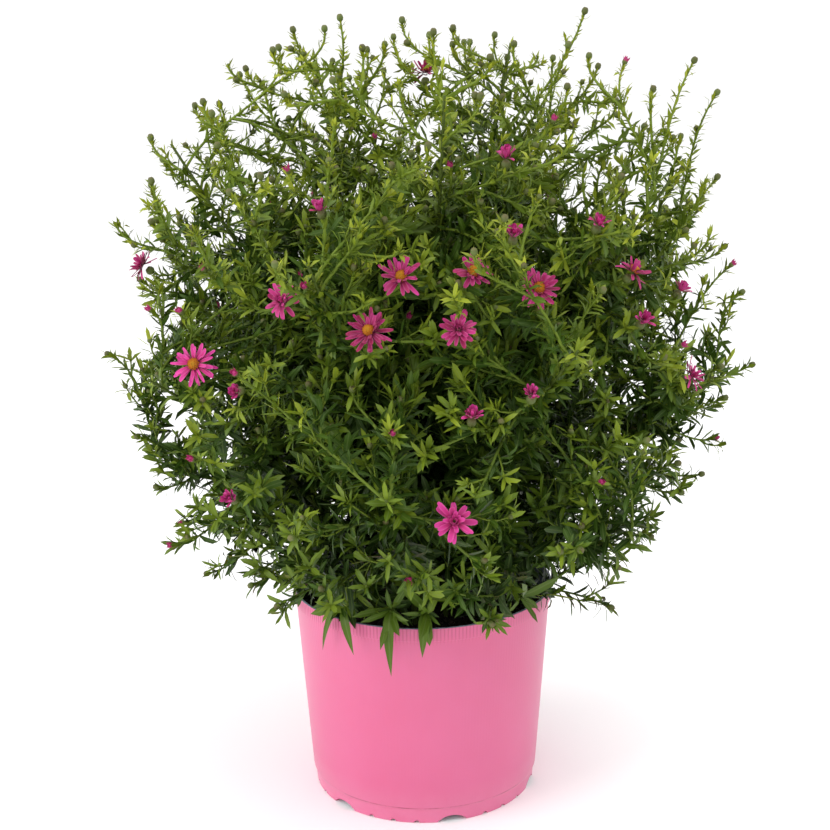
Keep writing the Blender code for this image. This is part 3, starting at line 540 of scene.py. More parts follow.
# Shoots that make the outline seen from the front: x and z (mm), near the plane y = 0
EDGE_TIPS = [
    (-74, 488), (-104, 465), (-119, 445), (-155, 412), (-160, 376), (-178, 333), (-193, 294),
    (-176, 243), (-167, 208), (-151, 184), (-138, 148), (-108, 150), (-44, 495), (-8, 493),
    (22, 488), (55, 470), (99, 497), (122, 468), (164, 468), (182, 448), (182, 398), (192, 352),
    (205, 322), (208, 280), (182, 238), (182, 203), (150, 160), (116, 150),
]
# Buds with a coloured tip, in front
FRONT_BUDS = [
    (147, -100, 314), (97, -140, 247), (-15, -172, 285), (-155, -72, 333), (-118, -112, 363),
    (-70, -112, 416), (-60, -150, 359), (125, -118, 358), (75, -85, 439), (-132, -108, 339),
]
# Shoots that lie over the front of the rim
RIM_TIPS = [(-51, -70, 147), (-20, -84, 149), (2, -86, 148), (62, -68, 150)]
FILL_TIPS = 84
FILL_DEPTH = (0.86, 0.98)
EDGE_DEPTH = 0.03
TIP_SPACING = 0.027
EDGE_SPACING = 0.008
POT_ZONE = (0.097, 0.163)
# Shoots too fine for the solids, which fill the bush between the others and stand out at its top
# as spires: how many, down to which slope from its centre, how far out they end and how upright
RISER_SETS = [
    (420, -0.82, (0.50, 0.90), 1.1), (160, -0.05, (0.55, 0.76), 2.2), (64, 0.35, (0.90, 0.99), 3.5),
    (110, -0.50, (0.30, 0.56), 1.6),
]
# How much nearer to the middle the fill ends at the top
TOP_SINK = 0.12
RISER_SWAY = 0.4
RISER_SPAN = (0.030, 0.150)
RISER_BEND = math.radians(62)
RISER_ALONG = 0.6
RISER_HANDLES = (0.35, 0.30)
RISER_RADIUS = (0.0010, 0.0007)
RISER_TRIES = 8
RISER_STEPS = 6
# What one more shoot costs its neighbours, and how near they are; steps along a stem and a shoot
RISER_CROWDING = (0.02, 0.006)
FOOT_STEPS = (12, 5)
# The share of fine shoots that end in a bud, low on the plant, and what its height adds
RISER_BUDS = (0.2, 0.6)
# Fine shoots that end in front of a bloom: its name, how far ahead of it and how far above
SPRIGS = [
    ("open_04", 0.010, 0.012), ("open_05", 0.010, 0.002), ("open_06", 0.009, 0.010),
    ("open_08", 0.010, 0.004), ("open_09", 0.008, 0.008), ("open_07", 0.010, 0.014),
]
SPRIG_LEAN = 0.3
# Where leaves keep off a bloom: the share of its radius, how far ahead, and a little behind
WHOLE_BLOOMS = ("open_01", "open_02")
BLOOM_KEEP = {"whole": (0.95, 0.020), "open": (0.7, 0.009), "closed": (1.1, 0.012)}
BLOOM_BACK = 0.0015
BOX_KEEP = 0.0002
LEAF_WALL_KEEP = (0.0045, 0.0008, 0.0006)
SOIL_KEEP = 0.0015


def millimetres(point):
    return Vector(point) / 1000


def reach(direction):
    """Distance from the plant's centre to its outer surface along a unit direction."""
    across = math.hypot(direction.x, direction.y) / PLANT_RADIUS
    upward = abs(direction.z) / PLANT_HALF_HEIGHT
    return (across ** PLANT_POWER + upward ** PLANT_POWER) ** (-1 / PLANT_POWER)


def spiral(count, low):
    """Directions spread evenly over a sphere, down to the height low on it."""
    for i in range(count):
        z = 1 - (1 - low) * (i + 0.5) / count
        across = math.sqrt(1 - z * z)
        yield Vector((across * math.cos(i * GOLDEN), across * math.sin(i * GOLDEN), z))


def curve(p0, p1, p2, p3, steps):
    """Points along a cubic Bezier curve."""
    points = []
    for i in range(steps + 1):
        t = i / steps
        s = 1 - t
        points.append(p0 * s ** 3 + p1 * 3 * s * s * t + p2 * 3 * s * t * t + p3 * t ** 3)
    return points


def tapered(girth, steps):
    """Radii from the thick end of a stalk to its thin end."""
    return [girth[0] + (girth[1] - girth[0]) * i / steps for i in range(steps + 1)]


@dataclass
class Stalk:
    """A round stalk: its bends, its thickness, the stem it belongs to and how it ends."""
    bends: tuple
    girth: tuple
    stem: int
    ending: str
    facing: Vector
    points: list = None
    radii: list = None


class Beads:
    """Beads strung along everything placed so far, to keep new stalks clear of it."""

    def __init__(self):
        self.strings = {}

    def string(self, points, radii):
        """Beads a fixed distance apart along straight runs."""
        beads = []
        for a, b, ra, rb in zip(points, points[1:], radii, radii[1:]):
            count = max(1, math.ceil((b - a).length / BEAD))
            for i in range(count + 1):
                share = i / count
                beads.append((*(a + (b - a) * share), ra + (rb - ra) * share))
        return np.array(beads)

    def add(self, owner, beads):
        held = self.strings.get(owner)
        self.strings[owner] = beads if held is None else np.vstack((held, beads))

    def clear(self, beads, friends):
        """True where no bead comes near one of another owner."""
        low, high = beads[:, :3].min(axis=0) - BEAD_REACH, beads[:, :3].max(axis=0) + BEAD_REACH
        for owner, held in self.strings.items():
            if (owner in friends or (held[:, :3].min(axis=0) > high).any()
                    or (held[:, :3].max(axis=0) < low).any()):
                continue
            gap = np.linalg.norm(held[None, :, :3] - beads[:, None, :3], axis=2)
            if (gap - held[None, :, 3] - beads[:, None, 3] < BEAD_GAP).any():
                return False
        return True


def rim_clear(beads):
    """True where a stalk keeps off the pot's wall and rim."""
    inside, outside, above = WALL_KEEP
    across = np.hypot(beads[:, 0], beads[:, 1])
    near_wall = (across > RIM_RADIUS - inside) & (across < RIM_RADIUS + outside)
    return not (near_wall & (beads[:, 2] < RIM_HEIGHT + above)).any()


def bloom_beads(place, facing, width):
    """Beads over a bloom's round face."""
    turn = facing.to_track_quat("Z", "Y")
    middle, elsewhere = BLOOM_BEAD_RADII
    beads = [(*place, middle)]
    for share, count in BLOOM_RINGS:
        for i in range(count):
            angle = 2 * math.pi * i / count
            spoke = Vector((math.cos(angle), math.sin(angle), BLOOM_HOLLOW)) * width / 2 * share
            beads.append((*(place + turn @ spoke), elsewhere))
    return np.array(beads)


def stem_route(root, direction):
    """A stem from under the soil, up and then outwards to the plant's surface."""
    tip = PLANT_CENTRE + direction * reach(direction) * STEM_END
    rise = STEM_RISE[0] + STEM_RISE[1] * max(0, direction.z)
    facing = (direction + Vector((0, 0, STEM_UPTURN))).normalized()
    handle = root + Vector((root.x * STEM_SPREAD, root.y * STEM_SPREAD, rise))
    bends = (root, handle, tip - facing * (tip - root).length * STEM_ARRIVAL, tip)
    points = [Vector((root.x, root.y, SOIL_HEIGHT - ROOT_DEPTH))] + curve(*bends, STEM_STEPS)
    radii = [STEM_RADIUS[0]] + tapered(STEM_RADIUS, STEM_STEPS)
    return Stalk(bends, STEM_RADIUS, None, "stem", facing, points, radii)


def grow_stems(beads):
    """The main stems, in the turns of a sunflower's seeds, each kept clear of the blooms."""
    stems = []
    for number, direction in enumerate(spiral(STEMS, STEM_LOW)):
        radius = ROOT_RING * math.sqrt((number + 0.5) / STEMS)
        root = Vector((radius * math.cos(number * GOLDEN), radius * math.sin(number * GOLDEN), COLLAR_HEIGHT))
        for turn, lift in ASIDES:
            around = math.atan2(direction.y, direction.x) + turn
            flat = math.hypot(direction.x, direction.y)
            aside = Vector((flat * math.cos(around), flat * math.sin(around), direction.z + lift))
            stem = stem_route(root, aside.normalized())
            string = beads.string(stem.points, stem.radii)
            if beads.clear(string, ()):
                break
        beads.add(number, string)
        stem.stem = number
        stems.append(stem)
    return stems


def joints(stem, tip, widest):
    """Where a shoot to the tip may leave a stem: (cost, stem, how far up, place, direction)."""
    for i in range(1, STEM_STEPS + 1):
        along = (stem.points[i + 1] - stem.points[i]).normalized()
        for share in JOINT_SHARES:
            joint = stem.points[i].lerp(stem.points[i + 1], share)
            span = tip - joint
            bend = span.angle(along)
            if SHOOT_SPAN[0] < span.length < SHOOT_SPAN[1] and bend < widest:
                yield span.length + BEND_COST * bend, stem.stem, i + share, joint, along


def shoot_route(joint, along, tip, facing, kind, number):
    """A shoot with the bud or the green cup at its tip."""
    span = (tip - joint).length
    first, last = SHOOT_HANDLES
    leaving = (along * SHOOT_ALONG + (tip - joint).normalized()).normalized()
    bends = [joint, joint + leaving * span * first, tip - facing * span * last, tip]
    points = curve(*bends, SHOOT_STEPS)
    radii = tapered(SHOOT_RADIUS, SHOOT_STEPS)
    if kind == "bud":
        points += [tip + facing * BUD_LENGTH * BUD_SWELL, tip + facing * BUD_LENGTH]
        radii += [BUD_RADIUS, 0.0]
    elif kind == "bloom":
        bends[3] = points[-1] = tip - facing * CUP_LENGTH
        points += [tip - facing * CUP_LENGTH * CUP_SWELL[0], tip]
        radii += [CUP_RADIUS * CUP_SWELL[1], CUP_RADIUS]
    return Stalk(bends, SHOOT_RADIUS, number, kind, facing, points, radii)


def grow_shoot(stems, beads, taken, tip, facing, kind, friend=None):
    """A side shoot to a tip, from the nearest stem that it can leave at an easy angle."""
    choices = []
    for stem in stems:
        for cost, number, place, joint, along in joints(stem, tip, RIM_BEND if kind == "rim" else SHOOT_BEND):
            if min([abs(place - other) for other in taken[number]] + [STEM_STEPS]) >= JOINT_SPACING:
                choices.append((cost + CROWD_COST * len(taken[number]), number, place, joint, along))
    choices.sort(key=lambda choice: choice[:3])
    for cost, number, place, joint, along in choices:
        shoot = shoot_route(joint, along, tip, facing, kind, number)
        string = beads.string(shoot.points, shoot.radii)
        if rim_clear(string) and beads.clear(string, (number, friend)):
            beads.add(number, string)
            taken[number].append(place)
            return shoot
    return None


def wanted_tips():
    """The tips of the shoots that end in a bud or in leaves, as (place, kind), in order."""
    draw = random.Random(SEED)
    wanted = [(millimetres(place), "bud") for place in FRONT_BUDS]
    for x, z in EDGE_TIPS:
        wanted.append((Vector((x / 1000, draw.uniform(-EDGE_DEPTH, EDGE_DEPTH), z / 1000)), "bud"))
    for direction in spiral(FILL_TIPS, FILL_LOW):
        place = PLANT_CENTRE + direction * reach(direction) * draw.uniform(*FILL_DEPTH)
        if math.hypot(place.x, place.y) > POT_ZONE[0] or place.z > POT_ZONE[1]:
            wanted.append((place, "fill"))
    return wanted


def grow():
    """Every stem and shoot of the plant, and its blooms as (name, place, facing, width)."""
    beads = Beads()
    blooms = [(f"{kind}_{number:02d}", millimetres(place), Vector(facing).normalized(), width / 1000)
              for kind, group in BLOOMS.items() for number, (place, facing, width) in enumerate(group, 1)]
    for name, place, facing, width in blooms:
        beads.add(name, bloom_beads(place, facing, width))
    stems = grow_stems(beads)
    taken = [[] for _ in range(STEMS)]
    shoots = []
    for tip in map(millimetres, RIM_TIPS):
        outward = Vector((tip.x, tip.y, 0)).normalized()
        shoots.append(grow_shoot(stems, beads, taken, tip, outward, "rim"))
    for name, place, facing, width in blooms:
        tip = place - facing * SEATS[name[:-3]]
        shoots.append(grow_shoot(stems, beads, taken, tip, facing, "bloom", name))
    tips = [place for _, place, _, _ in blooms]
    for place, kind in wanted_tips():
        spacing = TIP_SPACING if kind == "fill" else EDGE_SPACING
        if min((place - other).length for other in tips) < spacing:
            continue
        outward = (place - PLANT_CENTRE).normalized()
        facing = (outward + Vector((0, 0, SHOOT_UPTURN))).normalized()
        shoot = grow_shoot(stems, beads, taken, place, facing, "bud")
        if shoot is not None:
            shoots.append(shoot)
            tips.append(place)
    return stems, shoots, blooms


def has_room(shapes):
    """Which shapes stay in the plant's box, off the pot's wall and soil, and out of the blooms."""
    low, high = (np.array(corner) for corner in cad_box)
    keep = ((shapes > low + BOX_KEEP) & (shapes < high - BOX_KEEP)).all(axis=(1, 2))
    across = np.hypot(shapes[..., 0], shapes[..., 1])
    inside, outside, above = LEAF_WALL_KEEP
    wall = (across > RIM_RADIUS - inside) & (across < RIM_RADIUS + outside)
    below = np.where(wall, RIM_HEIGHT + above, np.where(across < RIM_RADIUS, SOIL_HEIGHT + SOIL_KEEP, 0))
    keep &= (shapes[..., 2] > below).all(axis=1)
    away = shapes[:, :, None] - bloom_places
    ahead = (away * bloom_ways).sum(axis=3)
    aside = np.linalg.norm(away - ahead[..., None] * bloom_ways, axis=3)
    near = (ahead > -BLOOM_BACK) & (ahead < bloom_depths) & (aside < bloom_clearings)
    return keep & ~near.any(axis=(1, 2))


def riser_tips(draw):
    """Where fine shoots are wanted, and the way each faces there."""
    for name, ahead, above in SPRIGS:
        place, way = next((place, way) for bloom, place, way, _ in blooms if bloom == name)
        yield place + way * ahead + Vector((0, 0, above)), way * SPRIG_LEAN + Vector((0, 0, 1))
    for count, low, depth, upturn in RISER_SETS:
        for direction in spiral(count, low):
            share = draw.uniform(*depth) - (TOP_SINK * max(0, direction.z) if low < 0 else 0)
            tip = PLANT_CENTRE + direction * reach(direction) * share
            if math.hypot(tip.x, tip.y) >= POT_ZONE[0] or tip.z >= POT_ZONE[1]:
                sway = [draw.uniform(-RISER_SWAY, RISER_SWAY) for _ in range(2)]
                yield tip, direction + Vector((*sway, upturn))


def grow_risers():
    """Fine side shoots, each from the nearest stalk that it can leave at an easy angle."""
    draw = random.Random(SEED + 1)
    feet, ways, owners = [], [], []
    for stalk in stems + shoots:
        points = curve(*stalk.bends, FOOT_STEPS[0] if stalk.ending == "stem" else FOOT_STEPS[1])
        for a, b in zip(points[1:], points[2:]):
            feet.append(a)
            ways.append((b - a).normalized())
            owners.append(stalk.stem)
    feet, ways = np.array(feet), np.array(ways)
    crowding = np.zeros(len(feet))
    risers = []
    for tip, facing in list(riser_tips(draw)):
        facing = facing.normalized()
        spans = np.array(tip) - feet
        lengths = np.linalg.norm(spans, axis=1)
        bends = np.arccos(np.clip((spans * ways).sum(axis=1) / lengths, -1, 1))
        costs = lengths + BEND_COST * bends + crowding
        costs[(lengths < RISER_SPAN[0]) | (lengths > RISER_SPAN[1]) | (bends > RISER_BEND)] = 1
        for i in np.argsort(costs)[:RISER_TRIES]:
            if costs[i] == 1:
                break
            foot, span = Vector(feet[i]), lengths[i]
            leaving = (Vector(ways[i]) * RISER_ALONG + (tip - foot).normalized()).normalized()
            first, last = RISER_HANDLES
            route = (foot, foot + leaving * span * first, tip - facing * span * last, tip)
            if has_room(np.array(curve(*route, RISER_STEPS))[None, 1:])[0]:
                share = (tip - PLANT_CENTRE).normalized().z
                budding = draw.random() < RISER_BUDS[0] + RISER_BUDS[1] * max(0, share)
                risers.append(Stalk(route, RISER_RADIUS, owners[i], "bud" if budding else "riser", facing))
                near = np.linalg.norm(feet - feet[i], axis=1) < RISER_CROWDING[1]
                crowding += RISER_CROWDING[0] * near
                break
    return risers


stems, shoots, blooms = grow()
bloom_places = np.array([place for _, place, _, _ in blooms])
bloom_ways = np.array([facing for _, _, facing, _ in blooms])
keeps = [BLOOM_KEEP["whole" if name in WHOLE_BLOOMS else name[:-3]] for name, _, _, _ in blooms]
bloom_clearings = np.array([width / 2 * share for (share, _), (_, _, _, width) in zip(keeps, blooms)])
bloom_depths = np.array([depth for _, depth in keeps])
risers = grow_risers()


# The leafy stems: soft green stalks, set all round with narrow leaves that shrink towards the
# tips, with leafy twigs in their axils. Leaves are folded along a pale midrib and arch outwards;
# the young ones at the tips stand in bright tufts. Rows of values are for stem, shoot and twig.
STALK_SIDES = (7, 5, 3)
STALK_STEPS = (24, 10, 3)
STALK_YOUTH = ((0.25, 0.0), (0.40, 0.35), (0.75, 0.0))
# The rows of a leaf and of a leaflet: how far along it is and how wide
LEAF_ROWS = [(0.0, 0.28), (0.34, 0.92), (0.74, 0.86), (1.0, 0.0)]
LEAFLET_ROWS = [(0.0, 0.40), (0.52, 1.0), (1.0, 0.0)]
LEAFLET_UP_TO = 0.0100
LEAF_FOLD = 0.10
# How wide a point is before its two sides are merged
TIP_SHARE = 0.001
LEAF_SPACING = (0.0036, 0.0023, 0.0019)
LEAF_RUN = ((0.10, 0.98), (0.06, 0.98), (0.12, 0.95))
TOP_CROWDING = 0.50
# Leaf length at the foot of the plant and at its top, and width as a share of it
LEAF_SIZE = ((0.021, 0.0090, 0.205), (0.0170, 0.0072, 0.205), (0.0125, 0.0062, 0.21))
# How young a leaf is at the start of its stalk, and what its place along it adds; what its height adds is
# partly youth and partly painted light from above
LEAF_YOUTH_AND_LIGHT = ((0.25, 0.45, 0.2), (0.25, 0.45, 0.2), (0.45, 0.4, 0.0))
LEAF_SPLAY = (math.radians(64), math.radians(34))
LEAF_SHRINK = 0.3
# How far leaves vary: length, width, turn and splay; then their curl, its spread, and more low down
LENGTHS, WIDTHS = (0.6, 1.25), (0.75, 1.25)
TURN_SPREAD, SPLAY_SPREAD = 0.35, 0.22
LEAF_CURL = (0.45, 0.60, 0.25)
# How much longer leaves are in the shade inside, less so at the top, and how soon
INNER_GROWTH = (0.8, 0.6, 2.2, 0.15)
WIDENING = (1.05, 0.20)
# How much darker leaves are painted deep inside the bush, as painted shade, and from which depth; then the
# painted shade low on it and the painted light high on it
INNER_SHADE = (0.8, 0.08)
HEIGHT_LIGHT_AND_SHADE = (-0.36, 0.62)
TWIG_SPACING = (0.014, 0.013)
TWIG_THINNING = 0.7
TWIG_RUN = (0.16, 0.90)
TWIG_TURN = 1.31
TWIG_SPLAY = math.radians(38)
TWIG_LENGTH = (0.012, 0.042)
TWIG_LENGTHS = (0.4, 1)
TWIG_SHORTENING = 0.55
TWIG_RADII = (0.0007, 0.0005)
# The way a twig's end takes: of its stalk, outwards, upwards and at random; and its bends
TWIG_ENDING = (0.7, 0.3, 0.55, 0.12)
TWIG_BENDS = (0.4, 0.55, 0.45, 0.3)
TWIG_OVERHANG = -0.01
TWIG_BUDS = (0.15, 0.45)
TWIG_BUD_SIZE = (0.0028, 0.0042)
# The ring of leaves round a growing tip: how many, over which length, and their splay
TUFT_LEAVES = (5, 9)
TUFT_LENGTH = 0.0025
TUFT_SPLAY = (1.15, 0.3)
TUFT_SHRINK = 0.2
TUFT_SINK = 0.002
# How young the tufts of twigs and of shoots look, the buds of twigs and of shoots, and rim leaves
TUFT_YOUTH = (0.95, 0.85)
BUD_YOUTH = (0.6, 0.5)
RIM_LEAF_YOUTH = 0.45
# Width and height of the green cup under a bloom, of a bud, and how wide a ripe bud is
CUP_SIZE = (CUP_RADIUS * 2.1, CUP_LENGTH * 1.05)
BUD_SIZE = (BUD_RADIUS * 1.8, BUD_LENGTH * 0.9)
RIPE_WIDTH = BUD_RADIUS * 1.5
# The share of buds that are about to open, and the petal tips that show in them
RIPE_BUDS = 0.16
TIPS = 9
TIP_LENGTH = (0.0030, 0.0042)
TIP_SPREAD = (0.15, 0.5)
TIP_WIDTH = 0.42
TIP_CURL = (-0.3, 0.3)
TIP_FOOT = (BUD_LENGTH * 0.45, BUD_RADIUS * 0.5)
# Leaves that hang over the front of the rim: the shoot by its order, the top of the leaf's bend,
# its tip and its width (mm)
RIM_LEAVES = [
    (0, (-60, -73, 146), (-63, -65, 116), 5), (0, (-49, -86, 145), (-43, -80, 119), 6),
    (1, (-23, -97, 150), (-20, -90, 109), 7), (2, (0, -99, 150), (-1, -92, 122), 7),
]
RIM_LEAF_SINK = 0.003
RIM_LEAF_TILT = 0.5
RIM_LEAF_ROWS = [
    (0.0, 0.30), (0.12, 0.60), (0.25, 0.85), (0.40, 1.0), (0.55, 0.95), (0.70, 0.78), (0.85, 0.45),
    (1.0, 0.0),
]
# A bud's sides and rings; up to where it is narrow and how narrow; from where it is wide, how
# wide and how low; and how far its scales stand out
BUD_SIDES, BUD_RINGS = 6, 5
BUD_FOOT = (0.3, 0.75)
BUD_SHOULDER = (0.7, 1.15, 0.8)
SCALE_RISE = 0.07
# Where in its step along a stalk a leaf may stand, and the least bend it is laid with
LEAF_PLACES = (0.1, 0.9)
LEAST_CURL = 0.01
# A direction that no stalk takes, the height of the plant's top, and the finishes in order
ASKEW = (0.3, 0.2, 1.0)
TOP_HEIGHT = 0.5
STALK, LEAF, SCALE = range(3)


def blade_shape(rows, fold):
    """One flat blade, a unit long and wide, folded a little along its midrib."""
    bpy.ops.object.select_all(action="DESELECT")
    bpy.ops.mesh.primitive_grid_add(x_subdivisions=2, y_subdivisions=len(rows) - 1, size=1)
    blade = bpy.context.object
    pointed = rows[-1][1] == 0
    bpy.ops.object.mode_set(mode="EDIT")
    for i, (along, width) in enumerate(rows):
        row = i / (len(rows) - 1) - 0.5
        pick(lambda place: abs(place.y - row) < NEAR and abs(place.z) < NEAR)
        bpy.ops.transform.resize(value=(max(width, TIP_SHARE), 1, 1))
        bpy.ops.transform.translate(value=(0, along - row, 1))
    pick(lambda place: abs(place.x) < NEAR and (not pointed or NEAR < place.y < 1 - NEAR))
    bpy.ops.transform.translate(value=(0, 0, -fold))
    if pointed:
        pick(lambda place: place.y > 1 - NEAR)
        bpy.ops.mesh.merge(type="CENTER")
    bpy.ops.mesh.select_all(action="SELECT")
    bpy.ops.transform.translate(value=(0, 0, -1))
    bpy.ops.object.mode_set(mode="OBJECT")
    return template(blade)


def bud_shape():
    """One bud, a unit high and wide: a green globe of pointed scales in rings."""
    bpy.ops.object.select_all(action="DESELECT")
    bpy.ops.mesh.primitive_uv_sphere_add(segments=BUD_SIDES, ring_count=BUD_RINGS, radius=0.5,
                                         location=(0, 0, 0.5))
    globe = bpy.context.object
    bpy.ops.object.transform_apply(location=True, rotation=False, scale=False)
    bpy.ops.object.mode_set(mode="EDIT")
    top, narrow = BUD_FOOT
    pick(lambda place: place.z < top)
    bpy.ops.transform.resize(value=(narrow, narrow, 1))
    start, wide, low = BUD_SHOULDER
    pick(lambda place: place.z > start)
    bpy.ops.transform.resize(value=(wide, wide, low))
    bpy.ops.mesh.select_all(action="SELECT")
    bpy.ops.mesh.poke(offset=SCALE_RISE)
    bpy.ops.object.mode_set(mode="OBJECT")
    return template(globe)


def lay_blades(shape, foot, heading, normal, length, width, curl):
    """Copies of a blade from their feet along their headings, each bent evenly to its curl."""
    across, along, lift = shape.T
    curl = np.where(np.abs(curl) < LEAST_CURL, LEAST_CURL, curl)[:, None]
    bend = curl * along
    run = np.sin(bend) / curl * length[:, None]
    drop = (1 - np.cos(bend)) / curl * length[:, None]
    side = np.cross(heading, normal)
    sideways = (across * width[:, None])[..., None] * side[:, None]
    raised = (lift * width[:, None])[..., None] * (
        np.cos(bend)[..., None] * normal[:, None] + np.sin(bend)[..., None] * heading[:, None])
    return (foot[:, None] + run[..., None] * heading[:, None] - drop[..., None] * normal[:, None]
            + sideways + raised)


def stalk_skin(points, radii, sides):
    """Points and triangles of a round stalk, closed at both ends."""
    points = np.asarray(points, float)
    ahead = np.gradient(points, axis=0)
    ahead /= np.linalg.norm(ahead, axis=1)[:, None]
    side = np.array(Vector(ahead[0]).orthogonal().normalized())
    verts = []
    turns = 2 * math.pi * np.arange(sides) / sides
    for point, radius, along in zip(points, radii, ahead):
        side = side - along * side.dot(along)
        side /= np.linalg.norm(side)
        up = np.cross(along, side)
        verts.append(point + radius * (np.cos(turns)[:, None] * side + np.sin(turns)[:, None] * up))
    verts = np.vstack(verts + [points[:1], points[-1:]])
    tris = []
    last = (len(points) - 1) * sides
    for k in range(sides):
        j = (k + 1) % sides
        tris += [(last + sides, j, k), (last + sides + 1, last + k, last + j)]
        for i in range(0, last, sides):
            a, b = i + k, i + j
            tris += [(a, b, b + sides), (a, b + sides, a + sides)]
    return verts, np.array(tris)


def walk(points, start, stop, spacing, draw):
    """Places and directions at about even steps along a route, and each one's share of the way."""
    points = np.asarray(points, float)
    runs = np.linalg.norm(np.diff(points, axis=0), axis=1)
    marks = np.concatenate(([0], np.cumsum(runs)))
    count = int((stop - start) * marks[-1] / spacing)
    if count < 1:
        return np.empty((0, 3)), np.empty((0, 3)), np.empty(0)
    steps = np.arange(count) + draw.uniform(*LEAF_PLACES, count)
    shares = start + (stop - start) * steps / count
    at = shares * marks[-1]
    places = np.stack([np.interp(at, marks, points[:, i]) for i in range(3)], axis=1)
    ahead = np.gradient(points, axis=0)
    along = np.stack([np.interp(at, marks, ahead[:, i]) for i in range(3)], axis=1)
    return places, along / np.linalg.norm(along, axis=1)[:, None], shares


def around(along, turns):
    """Directions square to a stalk at each turn about it."""
    side = np.cross(along, ASKEW)
    side /= np.linalg.norm(side, axis=1)[:, None]
    up = np.cross(along, side)
    return np.cos(turns)[:, None] * side + np.sin(turns)[:, None] * up


def depth_of(places):
    """How deep places lie in the bush: 0 at its surface and 1 at its centre."""
    away = places - np.array(PLANT_CENTRE)
    across = np.hypot(away[:, 0], away[:, 1]) / PLANT_RADIUS
    upward = np.abs(away[:, 2]) / PLANT_HALF_HEIGHT
    return 1 - (across ** PLANT_POWER + upward ** PLANT_POWER) ** (1 / PLANT_POWER)


def height_share(height):
    """0 at the pot's rim and 1 at the top of the plant."""
    return np.clip((height - RIM_HEIGHT) / (TOP_HEIGHT - RIM_HEIGHT), 0, 1)


class Foliage:
    """The leaves of one stem, gathered before they are laid and thinned."""

    def __init__(self, draw):
        self.draw = draw
        self.rows = []

    def add(self, foot, along, turns, shares, size, splay, youth):
        """Leaves at places on a stalk, each splayed from it by an angle."""
        count = len(foot)
        long, short, slim = size
        rise = height_share(foot[:, 2])
        length = (long + (short - long) * rise) * (1 - LEAF_SHRINK * shares)
        length = length * self.draw.uniform(*LENGTHS, count)
        out = around(along, turns + self.draw.normal(0, TURN_SPREAD, count))
        splay = splay + self.draw.normal(0, SPLAY_SPREAD, count)
        heading = along * np.cos(splay)[:, None] + out * np.sin(splay)[:, None]
        normal = along * np.sin(splay)[:, None] - out * np.cos(splay)[:, None]
        mean, spread, low = LEAF_CURL
        curl = self.draw.normal(mean, spread, count) + low * (1 - rise)
        growth, ease, steep, start = INNER_GROWTH
        length = length * (1 + growth * (1 - ease * rise) * np.clip(depth_of(foot) * steep - start, 0, 1))
        width = length * slim * self.draw.uniform(*WIDTHS, count) * (WIDENING[0] + WIDENING[1] * rise)
        tone = self.draw.uniform(0, 1, count)
        self.rows.append((foot, heading, normal, length, width, curl, youth + 0 * shares, tone))

    def line(self, route, rank, crowding=1):
        """Leaves all along a stem, shoot or twig, turn by turn."""
        places, along, shares = walk(route, *LEAF_RUN[rank], LEAF_SPACING[rank] * crowding, self.draw)
        if len(places):
            turns = GOLDEN * np.arange(len(places)) + self.draw.uniform(0, ANY_TURN)
            splay = LEAF_SPLAY[0] + (LEAF_SPLAY[1] - LEAF_SPLAY[0]) * shares
            start, further, higher = LEAF_YOUTH_AND_LIGHT[rank]
            # The height's share is partly painted light from above.
            youth = start + further * shares + higher * height_share(places[:, 2])
            self.add(places, along, turns, shares, LEAF_SIZE[rank], splay, youth)

    def tuft(self, tip, along, size, youth):
        """The ring of young leaves round a growing tip."""
        count = self.draw.integers(*TUFT_LEAVES)
        places = np.repeat(tip[None], count, axis=0) - along * np.linspace(TUFT_LENGTH, 0, count)[:, None]
        turns = GOLDEN * np.arange(count) + self.draw.uniform(0, ANY_TURN)
        self.add(places, np.repeat(along[None], count, axis=0), turns, np.full(count, TUFT_SHRINK), size,
                 np.linspace(*TUFT_SPLAY, count), youth)

    def lay(self, heap):
        """Adds every leaf that has room to a heap, the short ones as plainer leaflets."""
        columns = [np.concatenate(column) for column in zip(*self.rows)]
        short = columns[3] < LEAFLET_UP_TO
        for chosen, (shape, tris) in ((short, leaflet), (~short, leaf)):
            foot, heading, normal, length, width, curl, youth, tone = (column[chosen] for column in columns)
            leaves = lay_blades(shape, foot, heading, normal, length, width, curl)
            keep = has_room(leaves)
            leaves, youth, tone = leaves[keep], youth[keep], tone[keep]
            places = leaves.mean(axis=1)
            # Painted shade and light: leaves deep in the bush and low on it are made darker, and high ones
            # lighter, through their youth mark.
            youth = youth - INNER_SHADE[0] * np.clip(depth_of(places) - INNER_SHADE[1], 0, 1)
            youth = youth + HEIGHT_LIGHT_AND_SHADE[0] + HEIGHT_LIGHT_AND_SHADE[1] * height_share(places[:, 2])
            heap.add(leaves, tris, LEAF, np.clip(youth, 0, 1)[:, None], tone[:, None],
                     2 * np.abs(shape[:, 0]))


def twig_route(foot, along, out, length, draw):
    """A twig that leaves a stalk at an angle and turns up to run beside it."""
    heading = along * math.cos(TWIG_SPLAY) + out * math.sin(TWIG_SPLAY)
    onward, outward, upward, loose = TWIG_ENDING
    ending = along * onward + out * outward + np.array((0, 0, upward)) + draw.normal(0, loose, 3)
    ending /= np.linalg.norm(ending)
    first, before, after, last = TWIG_BENDS
    tip = foot + heading * length * before + ending * length * after
    bends = (foot, foot + heading * length * first, tip - ending * length * last, tip)
    return np.array(curve(*map(Vector, bends), STALK_STEPS[2])), ending


def upright(shape, place, facing, width, height):
    """A shape modelled upright on the origin, turned to its facing and set in place."""
    turn = np.array(Vector(facing).to_track_quat("Z", "Y").to_matrix())
    return (shape * np.array((width, width, height))) @ turn.T + np.asarray(place)


